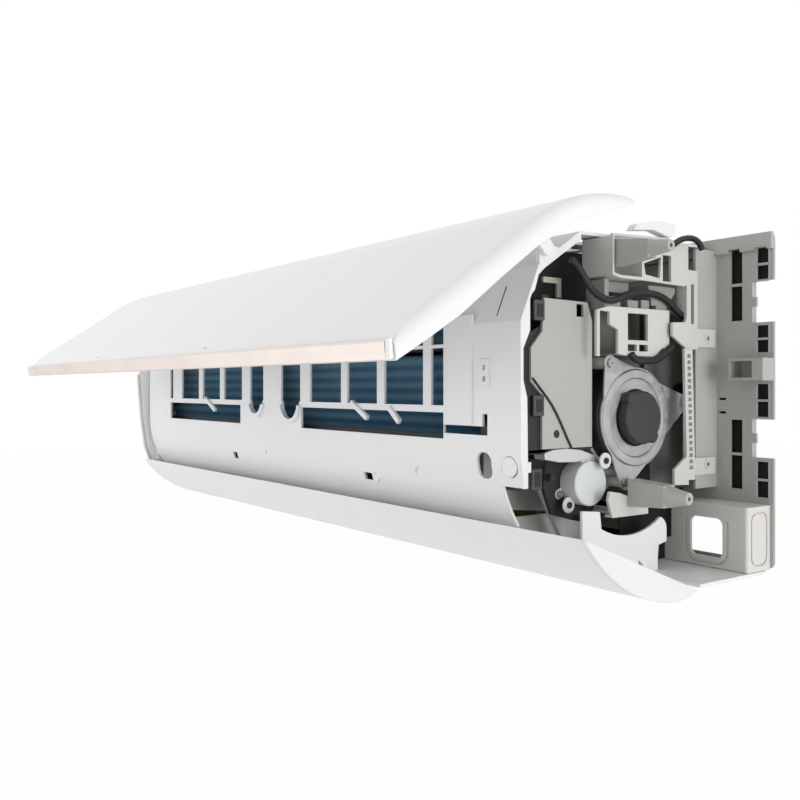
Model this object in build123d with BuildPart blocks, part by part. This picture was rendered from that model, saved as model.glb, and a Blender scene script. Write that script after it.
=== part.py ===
"""Mini split indoor unit, shown with its service end open and its front panel lifted.

Frame: x runs along the unit with the service end at +x, y points at the wall, which is the plane
y = 0, and z points up. The origin is the middle of the chassis face that lies on the wall.
"""

import os
from math import atan2, cos, degrees, hypot, radians, sin

from build123d import *

os.makedirs("parts", exist_ok=True)

# ---------------------------------------------------------------- driving dimensions, mm
overall_width = 886.0  # over both end covers
half = overall_width / 2
chassis_height = 284.0
chassis_depth = 8.0  # wall to the front face of the chassis plate
chassis_left = 13.0 - half
chassis_right = 433.0
casing_left = 14.0 - half
casing_right = 364.0
casing_wall = 2.5
sheet = 2.5  # wall of the other mouldings
seat = 0.3  # gap between pieces that sit against each other
run_fit = 0.05  # radial gap of a shaft in its bore
swing_gap = 1.5  # gap between a moving piece and what it passes

chassis_top = chassis_height / 2
chassis_bottom = -chassis_top
chassis_face = -chassis_depth


def side(x, centre=(0.0, 0.0)):
    """Sketch plane across the unit at x: sketch x is y, sketch y is z, measured from centre."""
    return Plane(origin=(x, centre[0], centre[1]), x_dir=(0, 1, 0), z_dir=(1, 0, 0))


def front(y):
    """Sketch plane facing the room at y: sketch x is x, sketch y is z."""
    return Plane.XZ.offset(-y)


def block(low, high, mode=Mode.ADD):
    """Box between two corners, in the current part."""
    with Locations(tuple((a + b) / 2 for a, b in zip(low, high))):
        Box(*(b - a for a, b in zip(low, high)), mode=mode)


def window(low, high, mode=Mode.ADD):
    """Rectangle between two corners, in the current sketch."""
    with Locations(((low[0] + high[0]) / 2, (low[1] + high[1]) / 2)):
        Rectangle(high[0] - low[0], high[1] - low[1], mode=mode)


def outline(*points, mode=Mode.ADD):
    """Filled polygon, in the current sketch."""
    Polygon(*points, align=None, mode=mode)


def bar(a, b, width, mode=Mode.ADD):
    """Rectangle of the given width along the line a-b, in the current sketch."""
    turn = degrees(atan2(b[1] - a[1], b[0] - a[0]))
    with Locations(Location(((a[0] + b[0]) / 2, (a[1] + b[1]) / 2, 0), (0, 0, turn))):
        Rectangle(hypot(b[0] - a[0], b[1] - a[1]), width, mode=mode)


def along(a, b, share):
    """Point at a share of the way from a to b."""
    return (a[0] + (b[0] - a[0]) * share, a[1] + (b[1] - a[1]) * share)


# ---------------------------------------------------------------- rear chassis
# Grey back plate with a rim and ribs that lie on the wall. Its service end is open to view:
# slotted windows, a column of hook pockets along the edge, two notches and a clip finger.
band_depth = 4.0
band_height = 14.0
slot_x = (392.0, 403.5)
slot_rows = [(69.0, 99.0), (101.5, 131.0), (-77.0, -48.0), (-45.5, -17.0)]
pocket_x = (417.0, 429.0)
pocket_rows = [(103.0, 115.0), (117.0, 130.0), (41.0, 51.5), (53.5, 64.0), (-14.0, -1.0),
               (1.0, 14.0), (-82.5, -68.5), (-66.5, -52.0)]
notch_x = 413.0
notch_rows = [(66.6, 102.0), (-48.7, -16.0)]
notch_tab = 8.0
side_wall_x = 375.5
side_wall_reach = 30.0
thin_slot_x = (379.5, 387.5)
thin_slot_rows = [0.0, -12.0]
thin_slot_h = 2.0
rib_t = 2.0
rib_columns = [-330.0, -165.0, 165.0, 330.0]
wall_pad = (110.0, 70.0)
hook_x = 250.0
hook_z = 112.0
hook_size = (46.0, 13.0)
foot_screw_x = 300.0
foot_screw_z = -126.0
foot_screw_r = 2.3
pipe_hole_x = (374.0, 406.0)
pipe_hole_z = (-133.5, -100.0)
pipe_hole_r = 6.0
pipe_way = ((318.0, -137.0), (409.0, -94.0))  # opening of the chassis behind the pipe corner
flange_x = 412.0  # beyond it the chassis is a plain flange
back_y = (-2.5, -1.2)
finger_x = 400.0
finger_z = (17.0, 36.0)
finger_reach = 16.0
tab_screws = [(-25.0, 54.0), (-25.0, -56.0)]
screw_r = 1.6
screw_hole_r = 1.9


def pipe_hole(grow=0.0, mode=Mode.ADD):
    """Rounded opening of the pipe corner, in the current sketch."""
    with Locations((sum(pipe_hole_x) / 2, sum(pipe_hole_z) / 2)):
        RectangleRounded(pipe_hole_x[1] - pipe_hole_x[0] + 2 * grow,
                         pipe_hole_z[1] - pipe_hole_z[0] + 2 * grow, pipe_hole_r + grow, mode=mode)


chassis_mid = (chassis_left + chassis_right) / 2
chassis_length = chassis_right - chassis_left
with BuildPart() as rear_chassis:
    with BuildSketch(front(chassis_face + sheet)):
        with Locations((chassis_mid, 0)):
            RectangleRounded(chassis_length, chassis_height, 6)
    extrude(amount=sheet)
    with BuildSketch(front(0)):
        with Locations((chassis_mid, 0)):
            RectangleRounded(chassis_length, chassis_height, 6)
            Rectangle(chassis_length - 2 * sheet, chassis_height - 2 * sheet, mode=Mode.SUBTRACT)
        Rectangle(*wall_pad)
        with Locations(*[(x, 0) for x in rib_columns]):
            Rectangle(rib_t, chassis_height - 2 * sheet)
    extrude(amount=chassis_depth - sheet)
    block((flange_x, chassis_face + sheet, chassis_bottom - 1), (chassis_right + 1, 1, chassis_top + 1),
          Mode.SUBTRACT)
    for x in (flange_x, slot_x[0] - 3.5):
        block((x - sheet, chassis_face + sheet, chassis_bottom + sheet), (x, 0, chassis_top - sheet))
    block((chassis_left, chassis_face - band_depth, chassis_top - band_height),
          (chassis_right, chassis_face, chassis_top))
    block((side_wall_x, chassis_face - side_wall_reach, slot_rows[2][0]),
          (side_wall_x + sheet, chassis_face, chassis_top - band_height + 4))
    with BuildSketch(front(0)):
        for low, high in slot_rows:
            window((slot_x[0], low), (slot_x[1], high))
        for low, high in pocket_rows:
            window((pocket_x[0], low), (pocket_x[1], high))
        for low, high in notch_rows:
            window((notch_x, low), (chassis_right + 1, high))
        for z in thin_slot_rows:
            window((thin_slot_x[0], z), (thin_slot_x[1], z + thin_slot_h))
        with Locations((-hook_x, hook_z), (hook_x, hook_z)):
            Rectangle(*hook_size)
        with Locations((-foot_screw_x, foot_screw_z), (foot_screw_x, foot_screw_z)):
            Circle(foot_screw_r)
        window(*pipe_way)
    extrude(amount=chassis_depth + band_depth, mode=Mode.SUBTRACT)
    # thin backs of the slots and pockets
    block((slot_x[0] - 5, back_y[0], -85), (flange_x, back_y[1], 132))
    for low, high in ((102, 131), (40, 65.5), (-15, 15), (-83.5, -51)):
        block((flange_x - 1, back_y[0], low), (425, back_y[1], high))
    with BuildSketch(side(side_wall_x)):
        with Locations(*tab_screws):
            Circle(screw_hole_r)
    extrude(amount=sheet, mode=Mode.SUBTRACT)
    for low, high in notch_rows:
        tab_z = (low + high - notch_tab) / 2
        block((notch_x - 3, chassis_face, tab_z), (notch_x + 4, chassis_face + sheet, tab_z + notch_tab))
    # clip finger of the side cover
    with BuildSketch(front(chassis_face)):
        window((finger_x, finger_z[0]), (chassis_right, finger_z[1]))
        window((finger_x + sheet, finger_z[0] + sheet), (chassis_right - 10, finger_z[1] - sheet),
               Mode.SUBTRACT)
    extrude(amount=finger_reach)
rear_chassis.part.label = "rear_chassis"
export_step(rear_chassis.part, "parts/rear_chassis.step")

# ---------------------------------------------------------------- pipe corner
# Grey corner box where the pipes leave: rounded see-through opening with a groove under it in
# front, an oval knock-out line on the end, open behind and towards the pipe channel.
pipe_corner_x = (346.0, 430.0)
pipe_corner_front = -40.0
pipe_corner_top = -88.0
groove_gap = 4.0
groove_w = 2.0
groove_deep = 1.2
knock_out = (23.0, 45.0)
corner_back = chassis_face - seat

with BuildPart() as pipe_corner:
    with BuildSketch(front(corner_back)):
        outline((pipe_corner_x[0] + 8, pipe_corner_top), (pipe_corner_x[1], pipe_corner_top),
                (pipe_corner_x[1], chassis_bottom), (pipe_corner_x[0], chassis_bottom),
                (pipe_corner_x[0], chassis_bottom + 18), (pipe_corner_x[0] + 8, chassis_bottom + 21))
    extrude(amount=corner_back - pipe_corner_front)
    fillet(pipe_corner.edges().filter_by(Axis.Z).group_by(Axis.Y)[0].sort_by(Axis.X)[-1], radius=3)
    block((pipe_corner_x[0] - 1, pipe_corner_front + sheet, chassis_bottom + sheet),
          (pipe_corner_x[1] - sheet, corner_back + 1, pipe_corner_top - sheet), Mode.SUBTRACT)
    with BuildSketch(front(corner_back)):
        pipe_hole()
    extrude(amount=corner_back - pipe_corner_front, mode=Mode.SUBTRACT)
    with BuildSketch(front(pipe_corner_front + groove_deep)):
        pipe_hole(groove_gap + groove_w)
        pipe_hole(groove_gap, Mode.SUBTRACT)
        window((pipe_hole_x[0] - 8, pipe_hole_z[1] - 2), (pipe_hole_x[1] + 8, pipe_hole_z[1] + 8), Mode.SUBTRACT)
    extrude(amount=groove_deep, mode=Mode.SUBTRACT)
    with BuildSketch(side(pipe_corner_x[1] - groove_deep)):
        with Locations(((corner_back + pipe_corner_front) / 2, (chassis_bottom + pipe_corner_top) / 2)):
            RectangleRounded(knock_out[0], knock_out[1], 8)
            RectangleRounded(knock_out[0] - 3, knock_out[1] - 3, 6.5, mode=Mode.SUBTRACT)
    extrude(amount=groove_deep, mode=Mode.SUBTRACT)
pipe_corner.part.label = "pipe_corner"
export_step(pipe_corner.part, "parts/pipe_corner.step")

# ---------------------------------------------------------------- fan and air duct
# The scroll housing is the rear wall of the air duct between two end walls, with a trough under
# the rear coil. It stands on the chassis with three long ribs.
fan_axis = (-105.0, -14.0)
fan_r = 49.0
duct_x = (48.0 - half, 296.0)  # inner faces of the two end walls
fan_x = (duct_x[0] + 7, duct_x[1] - 6)
shaft_r = 4.0
bearing_r = 9.0
neck_r = 12.0  # opening round the motor shaft
duct_lip = (-127.0, -95.0)
trough_back = -34.0
rib_rows = [30.0, 0.0, -60.0]
spigot_axis = (-190.0, -66.0)
spigot_r = 8.5
vane_y = -116.0
vane_pin_r = 2.0
vane_pitch = 78.0
vane_margin = 50.0
vane_x = [duct_x[0] + vane_margin + i * vane_pitch for i in range(4)]
vane_x += [duct_x[1] - vane_margin - i * vane_pitch for i in (3, 2, 1, 0)]
end_wall_points = [(-34, 50), (-34, -60), (-70, -90), (-104, -100), (-128, -98), (-212, -90),
                   (-212, -30), (-150, 44), (-60, 40), (-46, 50)]

with BuildPart() as scroll_housing:
    with BuildSketch(side(duct_x[0])):
        with BuildLine():
            ThreePointArc((-50, 30), (-48.5, -8), (-57, -45))
            ThreePointArc((-57, -45), (-74, -75), (-104, -93))
            Line((-104, -93), duct_lip)
            offset(amount=sheet, side=Side.LEFT)
        make_face()
        bar((-51, 31), (trough_back - 1, 36), sheet)
        bar((trough_back - 1.2, 35), (trough_back - 1.2, 54), sheet)
        for z in rib_rows[:2]:
            bar((-47, z), (chassis_face - seat, z), 2)
        bar((-62, rib_rows[2]), (chassis_face - seat, rib_rows[2]), 2)
    extrude(amount=duct_x[1] - duct_x[0])
    for x in (duct_x[0] - sheet, duct_x[1]):
        with BuildSketch(side(x)):
            outline(*end_wall_points)
            outline((-36, 44), (chassis_face - seat, 44), (chassis_face - seat, -50), (-36, -50))
            with Locations(fan_axis):
                Circle(bearing_r + seat if x < 0 else neck_r, mode=Mode.SUBTRACT)
        extrude(amount=sheet)
    with BuildSketch(side(duct_x[1])):
        with Locations(spigot_axis):
            Circle(spigot_r + seat)
    extrude(amount=sheet, mode=Mode.SUBTRACT)
    with BuildSketch(Plane.XY.offset(duct_lip[1] - 5)):
        with Locations(*[(x, vane_y) for x in vane_x]):
            Circle(vane_pin_r + run_fit)
    extrude(amount=10, mode=Mode.SUBTRACT)
scroll_housing.part.label = "scroll_housing"
export_step(scroll_housing.part, "parts/scroll_housing.step")

# The drain pan carries the trough of the front coil and forms the front wall of the duct.
pan_x = (duct_x[0] + seat, duct_x[1] - seat)
with BuildPart() as drain_pan:
    with BuildSketch(side(pan_x[0])):
        outline((-214, -30), (-214, -86), (-170, -64.5), (-152, -44), (-153, -34), (-156, -34),
                (-163, -50), (-206, -64), (-211, -60), (-211, -30))
        outline((-211, -68), (-211, -81), (-178, -65), mode=Mode.SUBTRACT)
    extrude(amount=pan_x[1] - pan_x[0])
    for x in (pan_x[0], pan_x[1] - sheet):
        with BuildSketch(side(x)):
            outline((-212, -56), (-166, -56), (-172, -60), (-212, -68))
        extrude(amount=sheet)
    with BuildSketch(side(pan_x[1] - sheet)):
        with Locations(spigot_axis):
            Circle(spigot_r)
    extrude(amount=sheet + 21)
    with BuildSketch(side(pan_x[1] - 2 * sheet)):
        with Locations(spigot_axis):
            Circle(spigot_r - 2)
    extrude(amount=2 * sheet + 21, mode=Mode.SUBTRACT)
drain_pan.part.label = "drain_pan"
export_step(drain_pan.part, "parts/drain_pan.step")

# Cross-flow fan: a drum of bent blades between discs, on a stub shaft and the motor shaft.
blade_count = 32
blade_in_r = 38.5
blade_t = 1.4
blade_lean = 16.0  # degrees from the inner to the outer edge
disc_t = 3.0
disc_spacing = (fan_x[1] - fan_x[0] - disc_t) / 4
hub_r = 11.0
stub_x = (duct_x[0] - 6, duct_x[0] + 21)
motor_x = (duct_x[1] + 10, duct_x[1] + 70)
motor_r = 42.0


def polar(r, angle):
    """Point at a radius and an angle in degrees."""
    return (r * cos(radians(angle)), r * sin(radians(angle)))


with BuildSketch(mode=Mode.PRIVATE) as blade:
    outer_edge = polar(fan_r - 0.6, blade_lean)
    inner_edge = polar(blade_in_r, 0)
    crown = polar((fan_r + blade_in_r) / 2 + 0.4, blade_lean * 0.28)
    hollow = polar((fan_r + blade_in_r) / 2 + 0.4 - blade_t * 0.5, blade_lean * 0.28 + 1.7)
    outline(inner_edge, crown, outer_edge, hollow)

with BuildPart() as cross_flow_fan:
    with BuildSketch(side(fan_x[0], fan_axis)):
        with PolarLocations(0, blade_count):
            add(blade.sketch)
    extrude(amount=fan_x[1] - fan_x[0])
    for i in range(5):
        with BuildSketch(side(fan_x[0] + i * disc_spacing, fan_axis)):
            Circle(fan_r)
            Circle(blade_in_r - 3 if 0 < i < 4 else shaft_r + run_fit, mode=Mode.SUBTRACT)
        extrude(amount=disc_t)
    for x, length in ((fan_x[0], 14.0), (fan_x[1] - 20, 20.0)):
        with BuildSketch(side(x, fan_axis)):
            Circle(hub_r)
            Circle(shaft_r + run_fit, mode=Mode.SUBTRACT)
        extrude(amount=length)
cross_flow_fan.part.label = "cross_flow_fan"
export_step(cross_flow_fan.part, "parts/cross_flow_fan.step")

with BuildPart() as fan_shaft:
    with BuildSketch(side(stub_x[0], fan_axis)):
        Circle(shaft_r)
    extrude(amount=stub_x[1] - stub_x[0])
    chamfer(fan_shaft.edges().group_by(Axis.X)[0], length=0.6)
fan_shaft.part.label = "fan_shaft"
export_step(fan_shaft.part, "parts/fan_shaft.step")

with BuildPart() as fan_bearing:
    with BuildSketch(side(duct_x[0] - 9, fan_axis)):
        Circle(bearing_r)
        Circle(shaft_r + run_fit, mode=Mode.SUBTRACT)
    extrude(amount=10)
    with BuildSketch(side(duct_x[0] - sheet - seat - 2, fan_axis)):
        Circle(bearing_r + 3)
        Circle(shaft_r + run_fit, mode=Mode.SUBTRACT)
    extrude(amount=2)
fan_bearing.part.label = "fan_bearing"
export_step(fan_bearing.part, "parts/fan_bearing.step")

with BuildPart() as motor_shaft:
    with BuildSketch(side(fan_x[1] - 16, fan_axis)):
        Circle(shaft_r)
    extrude(amount=motor_x[0] + 30 - fan_x[1] + 16)
motor_shaft.part.label = "motor_shaft"
export_step(motor_shaft.part, "parts/motor_shaft.step")

# ---------------------------------------------------------------- fan motor and its mounting
# A round resin motor lies in a cradle that is fixed to the end wall of the duct. A pressed ring
# with a bead and three ears holds it, on three screws, round a dark end cap.
ears = [(-43.0, -2.0), (-136.0, 31.0), (-118.0, -67.0)]
boss_r = 5.0
clamp_screw_r = 1.8
clamp_face = motor_x[1] + seat
clamp_t = 1.6
ring_in_r = 31.0
ring_out_r = 42.0
web_spread = 34.0  # degrees to each side of an ear where its web leaves the ring
bead_r = 36.5
bead_w = 8.4
bead_h = 3.2
cap_r = 22.0
cap_x = (clamp_face, 377.0)
cradle_wall = 3.0
cradle_face = duct_x[1] + sheet + seat
cradle_reach = 352.0

with BuildPart() as motor_body:
    with BuildSketch(side(motor_x[0], fan_axis)):
        Circle(motor_r)
    extrude(amount=motor_x[1] - motor_x[0])
    chamfer(motor_body.edges().filter_by(GeomType.CIRCLE), length=3)
    with BuildSketch(side(motor_x[0] - 4, fan_axis)):
        Circle(9)
    extrude(amount=5)
    with BuildSketch(side(motor_x[0] - 4, fan_axis)):
        Circle(shaft_r + run_fit)
    extrude(amount=36, mode=Mode.SUBTRACT)
motor_body.part.label = "motor_body"
export_step(motor_body.part, "parts/motor_body.step")

with BuildPart() as motor_cap:
    with BuildSketch(side(cap_x[0], fan_axis)):
        Circle(cap_r)
        with Locations(polar(cap_r - 2, 130), polar(cap_r - 2, -50)):
            Circle(6)
    extrude(amount=cap_x[1] - cap_x[0])
    chamfer(motor_cap.faces().sort_by(Axis.X)[-1].edges(), length=1.2)
motor_cap.part.label = "motor_cap"
export_step(motor_cap.part, "parts/motor_cap.step")

with BuildPart() as motor_clamp:
    with BuildSketch(side(clamp_face)):
        with Locations(fan_axis):
            Circle(ring_out_r)
        for ear in ears:
            away = degrees(atan2(ear[1] - fan_axis[1], ear[0] - fan_axis[0]))
            with Locations(ear):
                Circle(7)
            outline(*[(at[0] + p[0], at[1] + p[1]) for at, p in (
                (ear, polar(7, away + 80)), (fan_axis, polar(ring_out_r - 0.5, away + web_spread)),
                (fan_axis, polar(ring_out_r - 0.5, away - web_spread)), (ear, polar(7, away - 80)))])
        with Locations(fan_axis):
            Circle(ring_in_r, mode=Mode.SUBTRACT)
        with Locations(*ears):
            Circle(clamp_screw_r + 0.3, mode=Mode.SUBTRACT)
    extrude(amount=clamp_t)
    with BuildSketch(side(clamp_face, fan_axis)):
        Circle(bead_r + bead_w / 2)
        Circle(bead_r - bead_w / 2, mode=Mode.SUBTRACT)
    extrude(amount=bead_h)
    chamfer(motor_clamp.faces().sort_by(Axis.X)[-1].edges(), length=1.2)
    with BuildSketch(side(clamp_face, fan_axis)):
        Circle(bead_r + bead_w / 2 - clamp_t)
        Circle(bead_r - bead_w / 2 + clamp_t, mode=Mode.SUBTRACT)
    extrude(amount=bead_h - clamp_t, mode=Mode.SUBTRACT)
motor_clamp.part.label = "motor_clamp"
export_step(motor_clamp.part, "parts/motor_clamp.step")


def screw(at, head_x, shank, shank_r=screw_r, head_r=3.2):
    """Pan-head screw along -x, its head seated at head_x, in the current part."""
    with BuildSketch(side(head_x, at)) as head:
        Circle(head_r)
    extrude(head.sketch, amount=1.9)
    with BuildSketch(side(head_x - shank, at)) as body:
        Circle(shank_r)
    extrude(body.sketch, amount=shank)
    with BuildSketch(side(head_x + 1.0, at)) as cross:
        Rectangle(3.4, 0.8)
        Rectangle(0.8, 3.4)
    extrude(cross.sketch, amount=1, mode=Mode.SUBTRACT)


with BuildPart() as clamp_screws:
    for ear in ears:
        screw(ear, clamp_face + clamp_t + seat, 13, clamp_screw_r, 3.8)
clamp_screws.part.label = "clamp_screws"
export_step(clamp_screws.part, "parts/clamp_screws.step")

cradle_floor = cradle_face + cradle_wall
with BuildPart() as motor_cradle:
    shell_r = motor_r + seat + cradle_wall
    with BuildSketch(side(cradle_face)):
        with Locations(fan_axis):
            Circle(shell_r)
        for ear in ears:
            bar(along(fan_axis, ear, 0.7), ear, 2 * boss_r - 2)
            with Locations(ear):
                Circle(boss_r)
        with Locations(fan_axis):
            Circle(neck_r, mode=Mode.SUBTRACT)
    extrude(amount=cradle_wall)
    # open shell behind and below the motor
    with BuildSketch(side(cradle_floor, fan_axis)):
        Circle(shell_r - 0.2)
        Circle(motor_r + seat, mode=Mode.SUBTRACT)
        outline((0, 0), (-60, -42), (-60, 60), (34, 60), mode=Mode.SUBTRACT)
    extrude(amount=cradle_reach - cradle_floor)
    with BuildSketch(side(cradle_floor)):
        with Locations(*ears):
            Circle(boss_r - 0.2)
    extrude(amount=motor_x[1] - cradle_floor)
    with BuildSketch(side(motor_x[1] - 14)):
        with Locations(*ears):
            Circle(clamp_screw_r + run_fit)
    extrude(amount=14, mode=Mode.SUBTRACT)
motor_cradle.part.label = "motor_cradle"
export_step(motor_cradle.part, "parts/motor_cradle.step")

# ---------------------------------------------------------------- service end
# Everything here is read off the open end. The light wall screws to the chassis side wall with two
# tabs, carries the box for the cover's upper post, and frames the motor.
service_x = side_wall_x + sheet + seat
post_pocket = 30.0
upper_neck_x = 412.0  # where each post turns from a flat root into a cone
lower_neck_x = 411.0
post_tip_r = 1.7
upper_post_axis = (-139.0, 119.0)
lower_post_axis = (-117.0, -75.0)
post_end = 430.0

with BuildPart() as service_wall:
    with BuildSketch(side(service_x)):
        outline((-148, 134), (-148, 101), (-138, 99), (-110, 99), (-57, 97.5), (-46, 103), (-46, 110),
                (-52, 110), (-52, 134), (-74, 132.5), (-78, 137))
        outline((-146, 132), (-146, 103), (-138, 101.5), (-112.5, 101.5), (-112.5, 116), (-80, 131),
                (-80, 134.5), mode=Mode.SUBTRACT)
        outline((-110, 113), (-108, 104), (-90, 102), (-88, 120), mode=Mode.SUBTRACT)
        window((-86, 100), (-75, 122), Mode.SUBTRACT)
        outline((-54, 112), (-39, 112), (-39, 44), (-54, 44), (-73, 55), (-73, 66), (-56, 67), (-54, 72))
        window((-48, 66), (-44, 100), Mode.SUBTRACT)
        outline((-40, 62), (-14, 62), (-14, 46), (-40, 46))
        outline((-56, 46), (-48, 46), (-48, -66), (-56, -66))
        outline((-50, -50), (-14, -50), (-14, -65), (-50, -65))
        with Locations(*tab_screws):
            Circle(screw_hole_r, mode=Mode.SUBTRACT)
    extrude(amount=sheet)
    with BuildSketch(side(service_x + sheet)):
        with Locations(*tab_screws):
            Circle(4.2)
            Circle(screw_hole_r, mode=Mode.SUBTRACT)
    extrude(amount=0.8)
    # moulded box behind the upper opening
    with BuildSketch(side(service_x - post_pocket)):
        outline((-148, 132.5), (-148, 101), (-138, 99), (-110, 99), (-110, 117), (-90, 126), (-85, 132.5))
    extrude(amount=post_pocket)
    with BuildSketch(side(service_x - post_pocket + sheet)):
        outline((-146, 130.5), (-146, 103), (-138, 101.5), (-112.5, 101.5), (-112.5, 118.5), (-92, 128),
                (-90, 130.5))
    extrude(amount=post_pocket, mode=Mode.SUBTRACT)
    # flange behind the column
    with BuildSketch(side(service_x - 8)):
        bar((-53, 72), (-53, 108), 2)
    extrude(amount=8)
service_wall.part.label = "service_wall"
export_step(service_wall.part, "parts/service_wall.step")

with BuildPart() as upper_post:
    base_x = service_x - post_pocket + sheet + seat
    with BuildSketch(front(upper_post_axis[0] + 5)):
        outline(*[(x, upper_post_axis[1] + z) for x, z in (
            (base_x, -11), (service_x, -11), (upper_neck_x, -7), (upper_neck_x, 7), (service_x, 11), (base_x, 11))])
    extrude(amount=10)
    with BuildSketch(side(upper_neck_x, upper_post_axis)):
        Circle(6.7)
    extrude(amount=post_end - upper_neck_x, taper=7.4)
    with BuildSketch(side(post_end - 16, upper_post_axis)):
        Circle(post_tip_r)
    extrude(amount=16, mode=Mode.SUBTRACT)
upper_post.part.label = "upper_post"
export_step(upper_post.part, "parts/upper_post.step")

# Foot below the motor: a bracket whose tail lies along the duct end wall; it carries the lower post.
foot_x = 375.3
with BuildPart() as motor_foot:
    with BuildSketch(side(foot_x - sheet)):
        outline((-145, -72.5), (-133, -74.5), (-98, -86), (-98, -94), (-142, -94), (-147, -80))
    extrude(amount=sheet)
    block((cradle_face, -126, -94), (foot_x, -106, -91.5))
    block((foot_x - 8, -142, -94), (foot_x, -100, -92))
motor_foot.part.label = "motor_foot"
export_step(motor_foot.part, "parts/motor_foot.step")

with BuildPart() as lower_post:
    with BuildSketch(front(lower_post_axis[0] + 7)):
        outline(*[(x, lower_post_axis[1] + z) for x, z in (
            (foot_x + seat, -11), (lower_neck_x, -8.8), (lower_neck_x, 8.8), (foot_x + seat, 11))])
    extrude(amount=14)
    with BuildSketch(side(lower_neck_x, lower_post_axis)):
        Circle(8.5)
    extrude(amount=post_end - lower_neck_x, taper=11)
    with BuildSketch(side(post_end - 16, lower_post_axis)):
        Circle(post_tip_r)
    extrude(amount=16, mode=Mode.SUBTRACT)
lower_post.part.label = "lower_post"
export_step(lower_post.part, "parts/lower_post.step")

bracket_x = 372.5
with BuildPart() as upper_frame:
    with BuildSketch(side(bracket_x - 20)):
        outline((-148, 77), (-68, 77), (-68, 75), (-148, 75))
        for low, high, top in ((-148, -129, 85), (-120, -107, 83), (-103, -93, 84), (-84, -70, 82)):
            window((low, 76), (high, top))
        window((-148, 80), (-143, 98.5))
        window((-90, 80), (-85, 96.5))
        outline((-94, 96.8), (-59, 96.8), (-59, 92), (-73, 78), (-84, 80), (-92, 88))
    extrude(amount=20 - seat)
    with BuildSketch(side(bracket_x - 20)):
        outline((-144, 98.4), (-110, 98.4), (-110, 89), (-144, 90))
    extrude(amount=12)
upper_frame.part.label = "upper_frame"
export_step(upper_frame.part, "parts/upper_frame.step")

with BuildPart() as motor_bracket:
    with BuildSketch(side(bracket_x)):
        outline((-160, 73), (-145, 72), (-145, 62), (-135, 58), (-135, 38.5), (-124, 37), (-89, 37), (-80, 44),
                (-70, 45), (-70, 76.5), (-146, 76.5))
        outline((-160, 73), (-156.5, 73), (-156.5, 36), (-160, 36))
        window((-123, 50), (-98, 72), Mode.SUBTRACT)
        window((-123, 41), (-112, 46.5), Mode.SUBTRACT)
        window((-109, 41), (-98, 46.5), Mode.SUBTRACT)
    extrude(amount=sheet)
    block((bracket_x - 30, -126, 37.5), (bracket_x, -90, 39.5))
motor_bracket.part.label = "motor_bracket"
export_step(motor_bracket.part, "parts/motor_bracket.step")

strip_x = service_x + sheet + seat
with BuildPart() as perforated_strip:
    with BuildSketch(side(strip_x)):
        outline((-61, 44), (-50, 44), (-46, -68), (-57, -68))
        outline((-74, -58), (-55, -46), (-55, -72), (-74, -71))
        with Locations(*[(-55 + i * 0.19, 38 - i * 5.3) for i in range(19)]):
            Rectangle(5, 3.0, mode=Mode.SUBTRACT)
    extrude(amount=sheet)
perforated_strip.part.label = "perforated_strip"
export_step(perforated_strip.part, "parts/perforated_strip.step")

with BuildPart() as top_hook:
    with BuildSketch(side(service_x - 3)):
        outline((-126, 138.5), (-121, 144), (-94, 149), (-73, 148), (-73, 143), (-78, 137.4), (-82, 137.2),
                (-101, 141))
    extrude(amount=8)
top_hook.part.label = "top_hook"
export_step(top_hook.part, "parts/top_hook.step")

# Control box in front of the motor: dark frame with the circuit board behind a grey cover.
box_x = (311.0, 358.0)
box_y = (-226.0, -150.0)
box_z = (-40.0, 81.0)
board_x = box_x[0] + 8
box_feet = [(-200.0, -34.0), (-162.0, -34.0)]
box_screen = [(-225, 58), (-208, 100), (-164, 129), (-71, 129), (-71, 39), (-152, 39), (-152, 58)]
with BuildPart() as control_box:
    block((box_x[0], box_y[0], box_z[0]), (box_x[1], box_y[1], box_z[1]))
    block((box_x[0] + sheet, box_y[0] + sheet, box_z[0] + sheet),
          (box_x[1] + 1, box_y[1] - sheet, box_z[1] - sheet), Mode.SUBTRACT)
    block((box_x[0], -190, -30), (box_x[0] + sheet, -164, 60), Mode.SUBTRACT)
    with BuildSketch(side(box_x[0] + sheet)):
        with Locations((-218, -30), (-160, -30), (-218, 70), (-160, 70)):
            Rectangle(8, 8)
    extrude(amount=board_x - box_x[0] - sheet - seat)
    with BuildSketch(side(box_x[0] - 1)):
        outline((-227, 90), (-204, 82), (-204, 75), (-227, 60))
    extrude(amount=box_x[1] - box_x[0] + 2, mode=Mode.SUBTRACT)
    with BuildSketch(side(box_x[0])):
        bar((-225.4, 59.6), (-203.2, 74.1), sheet)
        bar((-203.2, 73), (-203.2, 80.5), sheet)
    extrude(amount=box_x[1] - box_x[0])
    # two feet on the end wall of the duct
    with BuildSketch(side(duct_x[1] + sheet + seat)):
        with Locations(*box_feet):
            Circle(4)
    extrude(amount=box_x[0] - duct_x[1] - sheet - seat)
    # dark screen above the box that hides the end of the coil
    with BuildSketch(side(box_x[0])):
        outline(*box_screen)
    extrude(amount=sheet)
control_box.part.label = "control_box"
export_step(control_box.part, "parts/control_box.step")

with BuildPart() as control_box_cover:
    with BuildSketch(side(box_x[1] + seat)):
        outline((-204, 81), (-155, 80), (-150, 65), (-150, -37), (-206, -37), (-206, 5), (-218, 16),
                (-218, 42), (-206, 55))
        window((-168, 68), (-160, 78), Mode.SUBTRACT)
    extrude(amount=sheet)
control_box_cover.part.label = "control_box_cover"
export_step(control_box_cover.part, "parts/control_box_cover.step")

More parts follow.
